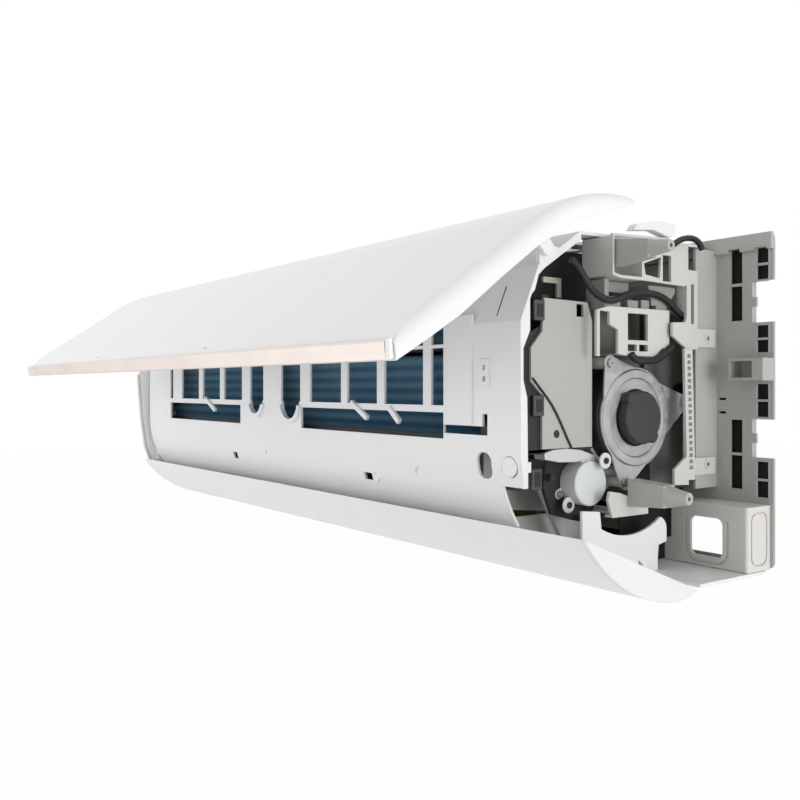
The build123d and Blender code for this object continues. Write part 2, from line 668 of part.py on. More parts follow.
board_t = 1.6
with BuildPart() as circuit_board:
    block((board_x, -222, -36), (board_x + board_t, -153, 56))
    for low, high, tall in (((-215, -25), (-190, -5), 16), ((-180, -30), (-160, -6), 22),
                            ((-212, 10), (-194, 26), 14), ((-186, 8), (-172, 20), 12), ((-168, 30), (-158, 44), 9)):
        block((board_x + board_t, low[0], low[1]), (board_x + board_t + tall, high[0], high[1]))
    with BuildSketch(side(board_x + board_t)):
        with Locations((-200, 44), (-180, 52)):
            Circle(7)
    extrude(amount=24)
circuit_board.part.label = "circuit_board"
export_step(circuit_board.part, "parts/circuit_board.step")

with BuildPart() as terminal_block:
    block((box_x[1] - 18, box_y[0] + sheet + seat, 20), (box_x[1] - 2, -212, 46))
    for i in range(3):
        block((box_x[1] - 12, -214, 22 + i * 8.5), (box_x[1] - 2, -212, 27 + i * 8.5), Mode.SUBTRACT)
terminal_block.part.label = "terminal_block"
export_step(terminal_block.part, "parts/terminal_block.step")

with BuildPart() as earth_strip:
    block((box_x[1] - 8, -204, box_z[0] - seat - 1.2), (box_x[1] + 4, -165, box_z[0] - seat))
    block((box_x[1] + 2.8, -204, box_z[0] - seat - 8), (box_x[1] + 4, -165, box_z[0] - seat))
earth_strip.part.label = "earth_strip"
export_step(earth_strip.part, "parts/earth_strip.step")

# ---------------------------------------------------------------- evaporator
# Three fin packs lean over the fan, between galvanised end plates, with the return bends outside.
coil_t = 26.0
plate_t = 1.5
coil_x = (duct_x[0] + seat + plate_t + seat, duct_x[1] - seat - plate_t - seat)
coil_lines = {
    "coil_lower_front": ((-190, -51), (-200, 40)),
    "coil_upper_front": ((-190, 54), (-120, 121)),
    "coil_rear": ((-100, 122), (-52, 50)),
}
for name, (low, high) in coil_lines.items():
    with BuildPart() as fin_pack:
        with BuildSketch(side(coil_x[0])):
            bar(low, high, coil_t)
        extrude(amount=coil_x[1] - coil_x[0])
    fin_pack.part.label = name
    export_step(fin_pack.part, "parts/" + name + ".step")

with BuildPart() as coil_end_plates:
    for x in (duct_x[0] + seat, duct_x[1] - seat - plate_t):
        with BuildSketch(side(x)):
            for low, high in coil_lines.values():
                bar(along(low, high, -0.02), along(low, high, 1.02), coil_t + 1)
            bar((-199, 36), (-190, 56), 14)
            bar((-122, 118), (-98, 119), 12)
        extrude(amount=plate_t)
coil_end_plates.part.label = "coil_end_plates"
export_step(coil_end_plates.part, "parts/coil_end_plates.step")

tube_r = 3.5
bend_r = 9.5
bends = [("coil_lower_front", 0.68, -6.0), ("coil_upper_front", 0.18, -6.0), ("coil_upper_front", 0.5, 6.0),
         ("coil_upper_front", 0.82, -6.0), ("coil_rear", 0.24, 6.0)]
bend_x = duct_x[1]
with BuildPart() as coil_bends:
    for name, share, aside in bends:
        low, high = coil_lines[name]
        length = hypot(high[0] - low[0], high[1] - low[1])
        run = ((high[0] - low[0]) / length, (high[1] - low[1]) / length)
        mid = along(low, high, share)
        mid = (mid[0] + run[1] * aside, mid[1] - run[0] * aside)
        start = (mid[0] - run[0] * bend_r, mid[1] - run[1] * bend_r)
        end = (mid[0] + run[0] * bend_r, mid[1] + run[1] * bend_r)
        with BuildLine():
            Line((bend_x, *start), (bend_x + 1, *start))
            ThreePointArc((bend_x + 1, *start), (bend_x + 1 + bend_r, *mid), (bend_x + 1, *end))
            Line((bend_x + 1, *end), (bend_x, *end))
        with BuildSketch(side(bend_x, start)):
            Circle(tube_r)
        sweep()
coil_bends.part.label = "coil_bends"
export_step(coil_bends.part, "parts/coil_bends.step")

# Copper pipes run down behind the motor and along the channel under the duct to their unions.
gas_r = 4.76
liquid_r = 3.18
gas_route = [(bend_x, -54, 59), (322, -54, 59), (322, -22, 27), (322, -22, -106), (102, -22, -106)]
liquid_route = [(bend_x, -66, 75), (337, -66, 75), (337, -22, 40), (337, -22, -130), (160, -22, -130)]
gas_bends = [14, 22, 26]
liquid_bends = [14, 22, 22]
for name, route, radii, r in (("gas_pipe", gas_route, gas_bends, gas_r),
                              ("liquid_pipe", liquid_route, liquid_bends, liquid_r)):
    with BuildPart() as pipe:
        with BuildLine():
            FilletPolyline(*route, radius=radii)
        with BuildSketch(side(route[0][0], route[0][1:])):
            Circle(r)
        sweep()
    pipe.part.label = name
    export_step(pipe.part, "parts/" + name + ".step")

unions = [(gas_route[-1], gas_r, 18.0, 7.9), (liquid_route[-1], liquid_r, 15.0, 5.5)]
union_body = 30.0
union_thread = 14.0
with BuildPart() as flare_unions:
    for (x, y, z), r, flats, thread_r in unions:
        with BuildSketch(side(x - union_body, (y, z))):
            RegularPolygon(flats / 2, 6, major_radius=False)
        extrude(amount=union_body - seat)
        with BuildSketch(side(x - union_body - union_thread, (y, z))):
            Circle(thread_r)
        extrude(amount=union_thread)
        with BuildSketch(side(x - union_body - union_thread, (y, z))):
            Circle(r)
        extrude(amount=union_thread + union_body - 6, mode=Mode.SUBTRACT)
flare_unions.part.label = "flare_unions"
export_step(flare_unions.part, "parts/flare_unions.step")

# ---------------------------------------------------------------- louvre and its drive
# The full-width flap under the unit is a double skin: a curved outer face and a flat inner one.
# It turns at its rear edge. A crank on the stepper pulls it open through a link; crank arm and
# louvre arm are equal and parallel, so the link only shifts.
louvre_axis = (-114.0, -138.0)
louvre_half = half - 9
louvre_front = (-238.0, -94.0)
louvre_tip = (-112.0, -145.0)
louvre_wall = 2.0
end_cap_t = 3.0
pivot_r = 2.0
ear_r = 5.0
bore_length = sheet
stepper_axis = (-150.0, -75.0)
arm_length = 24.0
arm_angle = 155.0  # of both arms at rest, from +y towards +z
arm_pin_r = 2.0
link_x = (318.0, 324.0)
link_w = 8.0
crank_x = (325.5, 333.0)
wall_right = (372.0, 374.5)
wall_left = (duct_x[0] - sheet, duct_x[0])
lug_t = 4.0

arm = polar(arm_length, arm_angle)
louvre_arm_end = (louvre_axis[0] + arm[0], louvre_axis[1] + arm[1])
crank_arm_end = (stepper_axis[0] + arm[0], stepper_axis[1] + arm[1])


def louvre_section():
    """Filled outline of the louvre, in the current sketch."""
    with BuildLine(mode=Mode.PRIVATE) as path:
        ThreePointArc(louvre_front, (-203, -129), (-150, -149.5))
        ThreePointArc((-150, -149.5), (-130, -150.2), louvre_tip)
        Line(louvre_tip, louvre_front)
    return make_face(path.line.edges(), mode=Mode.PRIVATE)


with BuildPart() as louvre:
    with BuildSketch(side(end_cap_t + seat - louvre_half)):
        add(louvre_section())
        offset(amount=-louvre_wall, mode=Mode.SUBTRACT)
    extrude(amount=2 * (louvre_half - end_cap_t - seat))
    for x in (wall_right[0] - seat * 2 - lug_t, wall_left[1] + seat * 2, link_x[0] - seat - 5):
        at = louvre_axis if x != link_x[0] - seat - 5 else louvre_arm_end
        width = lug_t if at == louvre_axis else 5
        with BuildSketch(side(x)):
            with Locations(at):
                Circle(ear_r if at == louvre_axis else 4.5)
            foot = (at[0] - 3.2, at[1] - 8)
            bar(at, foot, 9)
        extrude(amount=width)
    for x, at, length in ((wall_right[0] - 1, louvre_axis, bore_length + 1),
                          (wall_left[0], louvre_axis, bore_length + 1),
                          (link_x[0] - 1, louvre_arm_end, link_x[1] - link_x[0] + 1)):
        with BuildSketch(side(x, at)):
            Circle(pivot_r)
        extrude(amount=length)
louvre.part.label = "louvre"
export_step(louvre.part, "parts/louvre.step")

with BuildPart() as louvre_end_caps:
    for x in (-louvre_half, louvre_half - end_cap_t):
        with BuildSketch(side(x)):
            add(louvre_section())
        extrude(amount=end_cap_t)
louvre_end_caps.part.label = "louvre_end_caps"
export_step(louvre_end_caps.part, "parts/louvre_end_caps.step")

stepper_x = (343.0, 360.0)
stepper_r = 18.5
stepper_shaft_r = 2.5
stepper_centre = (-150.0, -67.0)
motor_ears = [(-129.5, -58.0), (-170.5, -76.0)]
drive_plate_x = (stepper_x[0] - seat - 3.0, stepper_x[0] - seat)
with BuildPart() as louvre_motor:
    with BuildSketch(side(stepper_x[0], stepper_centre)):
        Circle(stepper_r)
    extrude(amount=stepper_x[1] - stepper_x[0])
    chamfer(louvre_motor.edges().filter_by(GeomType.CIRCLE).group_by(Axis.X)[-1], length=1)
    with BuildSketch(side(stepper_x[0])):
        bar(*motor_ears, 8)
        with Locations(*motor_ears):
            Circle(4)
            Circle(screw_hole_r, mode=Mode.SUBTRACT)
    extrude(amount=1.0)
    with BuildSketch(side(crank_x[0], stepper_axis)):
        Circle(stepper_shaft_r)
    extrude(amount=stepper_x[0] - crank_x[0])
    block((stepper_x[0] + 3, -158, -52), (stepper_x[1] - 3, -142, -44))
louvre_motor.part.label = "louvre_motor"
export_step(louvre_motor.part, "parts/louvre_motor.step")

drive_posts = [(-168.0, -46.0), (-140.0, -52.5), (-136.0, -90.0)]
with BuildPart() as louvre_motor_bracket:
    with BuildSketch(side(drive_plate_x[0])):
        outline((-184, -49), (-178, -42), (-144, -42), (-138, -48), (-128, -54.5), (-124.5, -60), (-124.5, -82),
                (-131, -96), (-152, -99), (-178, -92), (-187, -70))
        with Locations(stepper_axis):
            Circle(8, mode=Mode.SUBTRACT)
        with Locations(*motor_ears):
            Circle(screw_hole_r, mode=Mode.SUBTRACT)
    extrude(amount=drive_plate_x[1] - drive_plate_x[0])
    with BuildSketch(side(cradle_face)):
        with Locations(*drive_posts):
            Circle(3.5)
    extrude(amount=drive_plate_x[0] - cradle_face)
    for low, high in (((-185, -64), (-180, -59)), ((-152, -99), (-146, -95))):
        block((drive_plate_x[0], *low), (stepper_x[0] + 6, *high))
louvre_motor_bracket.part.label = "louvre_motor_bracket"
export_step(louvre_motor_bracket.part, "parts/louvre_motor_bracket.step")

with BuildPart() as small_screws:
    for at in motor_ears:
        screw(at, stepper_x[0] + 1 + seat, 5)
small_screws.part.label = "small_screws"
export_step(small_screws.part, "parts/small_screws.step")

with BuildPart() as louvre_crank:
    with BuildSketch(side(crank_x[0])):
        with Locations(stepper_axis):
            Circle(6.5)
        with Locations(crank_arm_end):
            Circle(4.5)
        bar(stepper_axis, crank_arm_end, 8)
        with Locations(stepper_axis):
            Circle(stepper_shaft_r + run_fit, mode=Mode.SUBTRACT)
    extrude(amount=crank_x[1] - crank_x[0] - 2)
    with BuildSketch(side(link_x[0], crank_arm_end)):
        Circle(arm_pin_r)
    extrude(amount=crank_x[0] - link_x[0])
louvre_crank.part.label = "louvre_crank"
export_step(louvre_crank.part, "parts/louvre_crank.step")

with BuildPart() as louvre_link:
    with BuildSketch(side(link_x[0] + seat)):
        bar(louvre_arm_end, crank_arm_end, link_w)
        with Locations(louvre_arm_end, crank_arm_end):
            Circle(link_w / 2 + 0.5)
        with Locations(crank_arm_end):
            Circle(arm_pin_r + run_fit, mode=Mode.SUBTRACT)
        with Locations(louvre_arm_end):
            Circle(arm_pin_r + 0.5, mode=Mode.SUBTRACT)
    extrude(amount=link_x[1] - link_x[0] - seat)
louvre_link.part.label = "louvre_link"
export_step(louvre_link.part, "parts/louvre_link.step")

# ---------------------------------------------------------------- bottom cover
# White cover under the channel, with the two end walls that carry the louvre.
cover_z = (-145.0, chassis_bottom - 0.5)
inner_wall_x = 300.0
with BuildPart() as bottom_cover:
    block((wall_left[0], -104, cover_z[0]), (pipe_corner_x[1], -14, cover_z[1]))
    for i in range(3):
        block((348 + i * 24, -42, cover_z[0] - 4), (350 + i * 24, -16, cover_z[0]))
    block((346, -60, cover_z[0] - 5), (400, -57.5, cover_z[0]))
    with BuildSketch(side(wall_right[0])):
        with BuildLine():
            Polyline((-103.5, -142.8), (-84.5, -142.8), (-84.5, -132.6), (-83.5, -121.7), (-73, -119.4),
                     (-73, -110))
            ThreePointArc((-73, -110), (-75.5, -102), (-81, -98.3))
            ThreePointArc((-81, -98.3), (-114, -109.6), (-154, -102))
            Polyline((-154, -102), (-156, -88), (-176, -86), (-176, -114), (-122, -137), (-119.5, -131.5),
                     (-108.5, -131.5), (-103.5, -136), (-103.5, -142.8))
        make_face()
        with Locations(louvre_axis):
            Circle(ear_r)
            Rectangle(2 * ear_r, 10, align=(Align.CENTER, Align.MIN))
            Circle(pivot_r + run_fit, mode=Mode.SUBTRACT)
    extrude(amount=sheet)
    with BuildSketch(side(inner_wall_x)):
        outline((-205, -98.5), (-90, -98.5), (-90, -142.8), (-103, -142.8), (-103, -135), (-121, -135),
                (-123, -137), (-205, -103.8))
    extrude(amount=sheet)
    with BuildSketch(side(wall_left[0])):
        outline((-140, -104), (-98, -104), (-86, -142.8), (-103.5, -142.8), (-103.5, -136), (-108.5, -131),
                (-119.5, -131), (-122, -137), (-146, -127))
        with Locations(louvre_axis):
            Circle(ear_r)
            Rectangle(2 * ear_r, 10, align=(Align.CENTER, Align.MIN))
            Circle(pivot_r + run_fit, mode=Mode.SUBTRACT)
    extrude(amount=sheet)
bottom_cover.part.label = "bottom_cover"
export_step(bottom_cover.part, "parts/bottom_cover.step")

# ---------------------------------------------------------------- vertical vanes
# Eight upright vanes stand in the duct floor in two gangs; a bar joins the four of each gang.
vane_top = -70.0
bar_reach = 26.0  # from the vane's pivot to the bar's pin
bar_pin_r = 1.3
bar_gap = 0.4
bar_t = 2.0
vane_t = 1.6
duct_floor = duct_lip[1] + 0.6

for i, x in enumerate(vane_x):
    with BuildPart() as vane:
        with BuildSketch(side(x - vane_t / 2)):
            outline((-112, -89.5), (-112, -74), (-134, vane_top), (-158, vane_top), (-168, -84), (-150, -90.5))
        extrude(amount=vane_t)
        with BuildSketch(Plane.XY.offset(duct_floor - 1.5)):
            with Locations((x, vane_y)):
                Circle(vane_pin_r)
        extrude(amount=18)
        with BuildSketch(Plane.XY.offset(vane_top - 4)):
            with Locations((x, vane_y - bar_reach)):
                Circle(bar_pin_r)
        extrude(amount=4 + seat + bar_t + 1)
    vane.part.label = "vane_" + str(i + 1)
    export_step(vane.part, "parts/vane_" + str(i + 1) + ".step")

for name, gang in (("left_vane_bar", vane_x[:4]), ("right_vane_bar", vane_x[4:])):
    with BuildPart() as vane_bar:
        with BuildSketch(Plane.XY.offset(vane_top + seat)):
            with Locations(((gang[0] + gang[-1]) / 2, vane_y - bar_reach)):
                SlotCenterToCenter(gang[-1] - gang[0], 7)
            with Locations(*[(x, vane_y - bar_reach) for x in gang]):
                Circle(bar_pin_r + bar_gap, mode=Mode.SUBTRACT)
        extrude(amount=bar_t)
    vane_bar.part.label = name
    export_step(vane_bar.part, "parts/" + name + ".step")

# ---------------------------------------------------------------- front casing
# White shell with the window grid in front of the lower coil, pads and slots for the lifted panel,
# the air intake on top, and the ears of the panel hinge.
casing_back = chassis_face - band_depth - seat
casing_floor = (-211.0, -100.0)
face_y = -232.0
cut_x = 338.6
cut_z = -66.0
flange_t = 2.5
hinge_axis = (-207.4, 118.7)
hinge_pin_r = 2.5
hinge_ear_r = 6.5
right_arm_x = (casing_right + 0.8, casing_right + 4.8)
left_arm_x = (casing_left + 9.5, casing_left + 13.5)
hinge_ears = [(casing_right - 4.5, casing_right), (left_arm_x[0] - 4.8, left_arm_x[0] - 0.8)]
grid_z = (-4.0, 96.0)
grid_rail_z = (44.5, 47.5)
grid_cells = [(-347, -337), (-305, -247), (-234, -181), (-169, -118), (-96, -62), (-19, 24), (45, 106.5),
              (118, 170), (182, 241.5), (253, 270)]
lower_z = (-32.0, -10.0)
lower_cells = [(-346, -122), (26, 270)]
cups = [(-79.0, 30.0, 15.0), (2.5, 38.0, 19.0)]  # middle, width and depth of the rounded catches
latch_slots = [((-154.5, -76), (-143.5, -68)), ((138, -77.5), (152, -70.5))]
teardrops = [(-62.0, -65.0), (158.0, -73.0), (229.0, -62.0)]
d_hole = (321.0, -51.0)
button_at = (351.0, -50.0)
button_r = 8.0
stem_r = 2.0
intake_rows = [(-150.0, -98.0), (-88.0, -36.0)]
intake_count = 18
intake_pitch = (casing_right - casing_left - 79) / (intake_count - 1)
intake_w = 22.0

with BuildPart() as front_casing:
    with BuildSketch(side(casing_left)):
        with BuildLine():
            Polyline((casing_back, 139), (-167, 136), (-213, 106), (face_y, 62), (face_y, -33))
            TangentArc((face_y, -33), casing_floor, tangent=(0, -1))
            offset(amount=casing_wall, side=Side.LEFT)
        make_face()
    extrude(amount=casing_right - casing_left)
    # left end wall
    with BuildSketch(side(casing_left)):
        outline((casing_back, 138), (-167, 135), (-212, 105), (face_y + 1, 62), (face_y + 1, -33),
                (-226, -72), (-212, -99), (-168, -99), (-158, -95), (-100, -95), (-100, -139),
                (casing_back, -139))
    extrude(amount=casing_wall)
    # right flange round the service opening, with the stepped blocks beside it
    with BuildSketch(side(casing_right - flange_t)):
        outline((-166, 135.5), (-212.5, 105.5), (face_y + 0.5, 61.5), (face_y + 0.5, -33), (-228.5, -66),
                (-224, -66), (-225, 3), (-229, 17), (-229, 41), (-222, 55), (-222, 81), (-217, 86),
                (-213, 98), (-206, 104), (-166, 129.5))
    extrude(amount=flange_t)
    # windows
    with BuildSketch(front(face_y + 22)):
        for low, high in grid_cells:
            window((low, grid_z[0]), (high, grid_rail_z[0]))
            window((low, grid_rail_z[1]), (high, grid_z[1]))
        for low, high in lower_cells:
            window((low, lower_z[0]), (high, lower_z[1]))
        for low, high in latch_slots:
            window(low, high)
        for x, z in teardrops:
            with Locations((x, z)):
                SlotCenterToCenter(4, 5, rotation=40)
        with Locations(d_hole):
            RectangleRounded(17, 21, 7)
        with Locations(button_at):
            Circle(button_r + seat)
        window((270.5, -27), (326, -20))
        window((320, -20.5), (326, -10))
    extrude(amount=24, mode=Mode.SUBTRACT)
    # raised smooth pad, and the rounded catches under two windows
    block((279, face_y - 1.6, -19), (308.5, face_y + 1, 70))
    block((317, face_y - 1.2, 11), (329, face_y + 1, 34))
    with BuildSketch(front(face_y + 2.2)):
        window((321.5, 16), (324.5, 20))
        window((321.5, 25), (324.5, 29))
    extrude(amount=5, mode=Mode.SUBTRACT)
    for x, width, drop in cups:
        with BuildSketch(front(face_y + 1)):
            with Locations((x, grid_z[0])):
                RectangleRounded(width + 9, 2 * drop + 9, width / 2 + 2)
            window((x - width, grid_z[0] - 4), (x + width, grid_z[0] + 60), Mode.SUBTRACT)
        extrude(amount=4)
        with BuildSketch(front(face_y + 4)):
            with Locations((x, grid_z[0])):
                RectangleRounded(width, 2 * drop, width / 2 - 1)
        extrude(amount=8, mode=Mode.SUBTRACT)
    # lower right corner is cut away above the louvre
    block((cut_x, -240, -120), (casing_right + 1, casing_back, cut_z), Mode.SUBTRACT)
    # air intake
    with BuildSketch(Plane.XY.offset(130)):
        for low, high in intake_rows:
            with Locations((casing_left + 48, (low + high) / 2)):
                with GridLocations(intake_pitch, 1, intake_count, 1, align=(Align.MIN, Align.CENTER)):
                    Rectangle(intake_w, high - low)
    extrude(amount=12, mode=Mode.SUBTRACT)
    # hinge ears
    for low, high in hinge_ears:
        with BuildSketch(side(low)):
            with Locations(hinge_axis):
                Circle(hinge_ear_r)
            outline((-213.2, 121), (-211.5, 105.6), (-189, 120.3), (-202, 122.5))
            with Locations(hinge_axis):
                Circle(hinge_pin_r + run_fit, mode=Mode.SUBTRACT)
        extrude(amount=high - low)
    # bar behind the button
    block((button_at[0] - 12, face_y + 1, button_at[1] - 4), (button_at[0] - 9.5, face_y + 12, button_at[1] + 4))
    block((button_at[0] + 9.5, face_y + 1, button_at[1] - 4), (casing_right - 1, face_y + 12, button_at[1] + 4))
    block((button_at[0] - 12, face_y + 9.5, button_at[1] - 4), (casing_right - 1, face_y + 12, button_at[1] + 4))
    with BuildSketch(front(face_y + 14)):
        with Locations(button_at):
            Circle(stem_r + run_fit)
    extrude(amount=6, mode=Mode.SUBTRACT)
front_casing.part.label = "front_casing"
export_step(front_casing.part, "parts/front_casing.step")

with BuildPart() as manual_button:
    with BuildSketch(front(face_y + 1.4)):
        with Locations(button_at):
            Circle(button_r)
    extrude(amount=2.0)
    chamfer(manual_button.faces().sort_by(Axis.Y)[0].edges(), length=0.6)
    with BuildSketch(front(face_y + 16)):
        with Locations(button_at):
            Circle(stem_r)
    extrude(amount=15)
manual_button.part.label = "manual_button"
export_step(manual_button.part, "parts/manual_button.step")

# ---------------------------------------------------------------- left end cap
cap_outer = [(casing_back, 141), (-215, 141), (-238, 112), (-246, 70), (-245, 30), (-240, -33), (-234, -75),
             (-225, -100), (-113, -144.6), (casing_back, -144.6)]
left_cap_x = (-half, 7.0 - half)
with BuildPart() as left_end_cap:
    with BuildSketch(side(left_cap_x[0])):
        outline(*cap_outer)
    extrude(amount=left_cap_x[1] - left_cap_x[0])
    fillet(left_end_cap.faces().sort_by(Axis.X)[0].edges(), radius=2.5)
    block((left_cap_x[0] + sheet, -200, -100), (left_cap_x[1] + 1, -30, 120), Mode.SUBTRACT)
    with BuildSketch(side(left_cap_x[1])):
        outline((casing_back, 138.5), (-180, 138.5), (-214, 128), (-229.5, 91), (-231, 48), (-227, 5),
                (-222, -35), (-220.5, -66), (-220, -96), (-125, -134), (-118, -125), (-102, -127),
                (-102, -141), (casing_back, -141))
        outline((-16, 134), (-165, 134), (-208, 104), (-226, 62), (-222, 5), (-216, -90), (-128, -126),
                (-98, -118), (-94, -137), (-16, -137), mode=Mode.SUBTRACT)
    extrude(amount=casing_left - seat - left_cap_x[1])
left_end_cap.part.label = "left_end_cap"
export_step(left_end_cap.part, "parts/left_end_cap.step")

with BuildPart() as left_side_trim:
    with BuildSketch(side(left_cap_x[0] + 0.6)):
        outline((-245.3, 30), (-240.3, -33), (-234.3, -75), (-225.3, -100), (-227.5, -101.5), (-236.6, -76),
                (-242.6, -33.5), (-247.4, 30))
    extrude(amount=left_cap_x[1] - left_cap_x[0] - 1.2)
left_side_trim.part.label = "left_side_trim"
export_step(left_side_trim.part, "parts/left_side_trim.step")

# ---------------------------------------------------------------- front panel
# Crowned tray, drawn closed and shown lifted about its hinge by open_angle. Two arms carry it.
panel_half = half - 8
open_angle = 60.0
panel_wall = 2.5
panel_end = 5.5  # solid end of the tray, rolled towards the front
panel_roll = 10.0
panel_top = (-222.8, 154.6)
panel_mid = (-248.5, 62.0)
panel_low = (-239.0, -69.0)
panel_lip = (-233.0, -87.0)
panel_rim = [(-223, -92), (-223, -66), (-224, -35), (-229, 5.8), (-233.2, 48.6), (-231.5, 91.5),
             (-218.5, 152)]
hook_places = [-149.0, 145.0]
trim_x = (3 - panel_half, panel_half - 6)


def lifted(x):
    """Section plane at x for what is drawn as it stands closed and shown turned about the hinge."""
    c, s = cos(radians(-open_angle)), sin(radians(-open_angle))
    y, z = hinge_axis
    return Plane(origin=(x, y - (y * c - z * s), z - (y * s + z * c)), x_dir=(0, c, s), z_dir=(1, 0, 0))


def crown(inset):
    """Front line of the panel from the top edge to the lip, inset from the outer face."""
    top = (panel_top[0] + inset, panel_top[1] - inset)
    mid = (panel_mid[0] + inset, panel_mid[1])
    low = (panel_low[0] + inset, panel_low[1])
    lip = (panel_lip[0] + inset, panel_lip[1] + inset * 0.6)
    with BuildLine(mode=Mode.PRIVATE) as path:
        lower = Line(low, mid)
        TangentArc(mid, top, tangent=lower % 1)
        Line(lip, low)
    return path.line


with BuildPart() as front_panel:
    with BuildSketch(lifted(-panel_half)):
        with BuildLine():
            add(crown(0))
            Polyline(panel_top, panel_rim[-1], *panel_rim[-2::-1], panel_lip)
        make_face()
    extrude(amount=2 * panel_half)
    for end in (front_panel.faces().sort_by(Axis.X)[0], front_panel.faces().sort_by(Axis.X)[-1]):
        fillet(end.edges().sort_by(SortBy.LENGTH)[-2:], radius=panel_roll)
    with BuildSketch(lifted(panel_end - panel_half)):
        with BuildLine():
            add(crown(panel_wall))
            Polyline((panel_top[0] + panel_wall, panel_top[1] - panel_wall), (-200, 150), (-200, -84),
                     (panel_lip[0] + panel_wall, panel_lip[1] + panel_wall * 0.6))
        make_face()
    extrude(amount=2 * (panel_half - panel_end), mode=Mode.SUBTRACT)
    for low, high in (right_arm_x, left_arm_x):
        with BuildSketch(lifted(low)):
            with Locations(hinge_axis):
                Circle(6)
            outline((-206.6, 124.6), (-239.3, 120), (-246, 93), (-208.8, 112.9))
        extrude(amount=high - low)
        with BuildSketch(side(low - 5, hinge_axis)):
            Circle(hinge_pin_r)
        extrude(amount=6)
    for x in hook_places:
        with BuildSketch(lifted(x - 4)):
            outline((-238, -66), (-229, -71.5), (-222.5, -71.5), (-222.5, -75.2), (-224.5, -75.2), (-226, -74),
                    (-230, -74.2), (-236, -80))
        extrude(amount=8)
front_panel.part.label = "front_panel"
export_step(front_panel.part, "parts/front_panel.step")

with BuildPart() as panel_trim:
    with BuildSketch(lifted(trim_x[0])):
        outline((-233.3, -87.4), (-225.6, -91.3), (-225.0, -94.6), (-234.8, -90.4), (-235.8, -88.6),
                (-235.4, -86.8), (-234, -86.2))
    extrude(amount=trim_x[1] - trim_x[0])
panel_trim.part.label = "panel_trim"
export_step(panel_trim.part, "parts/panel_trim.step")
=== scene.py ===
"""Looks of a mini split indoor unit, with its front panel lifted and its service end open.

Lengths are metres in the frame of the construction: x runs along the unit to its service end,
y into the wall and z up, from the middle of the face that lies on the wall.
"""

import math

import bmesh
import bpy
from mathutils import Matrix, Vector


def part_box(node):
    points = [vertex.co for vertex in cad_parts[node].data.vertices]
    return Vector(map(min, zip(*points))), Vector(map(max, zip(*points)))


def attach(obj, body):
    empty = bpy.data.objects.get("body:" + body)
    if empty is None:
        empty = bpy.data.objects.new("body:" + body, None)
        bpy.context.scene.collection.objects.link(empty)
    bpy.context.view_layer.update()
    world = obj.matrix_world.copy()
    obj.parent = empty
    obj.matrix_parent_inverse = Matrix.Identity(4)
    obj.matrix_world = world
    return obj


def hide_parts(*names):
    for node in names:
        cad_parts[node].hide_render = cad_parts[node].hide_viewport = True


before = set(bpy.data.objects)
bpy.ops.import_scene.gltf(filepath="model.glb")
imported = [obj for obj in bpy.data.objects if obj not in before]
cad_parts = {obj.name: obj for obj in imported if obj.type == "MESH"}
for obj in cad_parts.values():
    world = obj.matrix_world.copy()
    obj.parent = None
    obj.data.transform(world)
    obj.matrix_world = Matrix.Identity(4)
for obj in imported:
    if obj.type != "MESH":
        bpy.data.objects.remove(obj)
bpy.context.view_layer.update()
collection = bpy.context.scene.collection

# ---------------------------------------------------------------- the view
# The unit is photographed level from the service end, through a lens a little longer than
# normal, on a white ground.
eye = (0.8608, -0.699, 0.0115)
heading = math.radians(54.457)
lens = 40.2
rise = -0.01625

camera = bpy.data.objects.new("camera", bpy.data.cameras.new("camera"))
camera.location = eye
camera.rotation_euler = (math.pi / 2, 0, heading)
camera.data.sensor_width = 36
camera.data.lens = lens
camera.data.shift_y = rise
collection.objects.link(camera)
bpy.context.scene.camera = camera
bpy.context.scene.view_settings.view_transform = "Standard"

# ---------------------------------------------------------------- room and floor
# A white studio sweep: an even white surround, soft lamps over the panel, before the front and
# beside the service end, and a pale floor well below the unit that takes a faint shadow.


class Wire:
    """A value in a node tree. Sums and products of wires add their Math nodes."""

    def __init__(self, recipe, socket):
        self.recipe, self.socket = recipe, socket

    def maths(self, operation, *others):
        sockets = dict(enumerate((self,) + others))
        return self.recipe.node("Math", {"operation": operation}, sockets)

    def __add__(self, other):
        return self.maths("ADD", other)

    def __mul__(self, other):
        return self.maths("MULTIPLY", other)

    __radd__ = __add__
    __rmul__ = __mul__


class Recipe:
    """A node tree that is being written."""

    def __init__(self, tree):
        self.tree = tree

    def node(self, kind, settings=None, sockets=None, out=0):
        made = self.tree.nodes.new("ShaderNode" + kind)
        for name, value in (settings or {}).items():
            setattr(made, name, value)
        self.feed(made, sockets or {})
        return Wire(self, made.outputs[out])

    def feed(self, made, sockets):
        for name, value in sockets.items():
            if isinstance(value, Wire):
                self.tree.links.new(value.socket, made.inputs[name])
            else:
                made.inputs[name].default_value = value


def tint(red, green, blue):
    """Colour from the levels 0 to 255 that it shows on a screen."""
    shares = [level / 255 for level in (red, green, blue)]
    return (*(v / 12.92 if v <= 0.04045 else ((v + 0.055) / 1.055) ** 2.4 for v in shares), 1.0)


surround = 0.62  # light that falls on the unit from all sides; the eye sees full white
world = bpy.data.worlds.new("studio")
world.use_nodes = True
bpy.context.scene.world = world
sky = Recipe(world.node_tree)
seen = sky.node("LightPath", out="Is Camera Ray")
mirrored = sky.node("LightPath", out="Is Glossy Ray")
through = sky.node("LightPath", out="Is Transmission Ray")
shown = seen.maths("MAXIMUM", mirrored).maths("MAXIMUM", through)
strength = shown * (1 - surround) + surround
sky.feed(world.node_tree.nodes["Background"], {"Color": (1, 1, 1, 1), "Strength": strength})

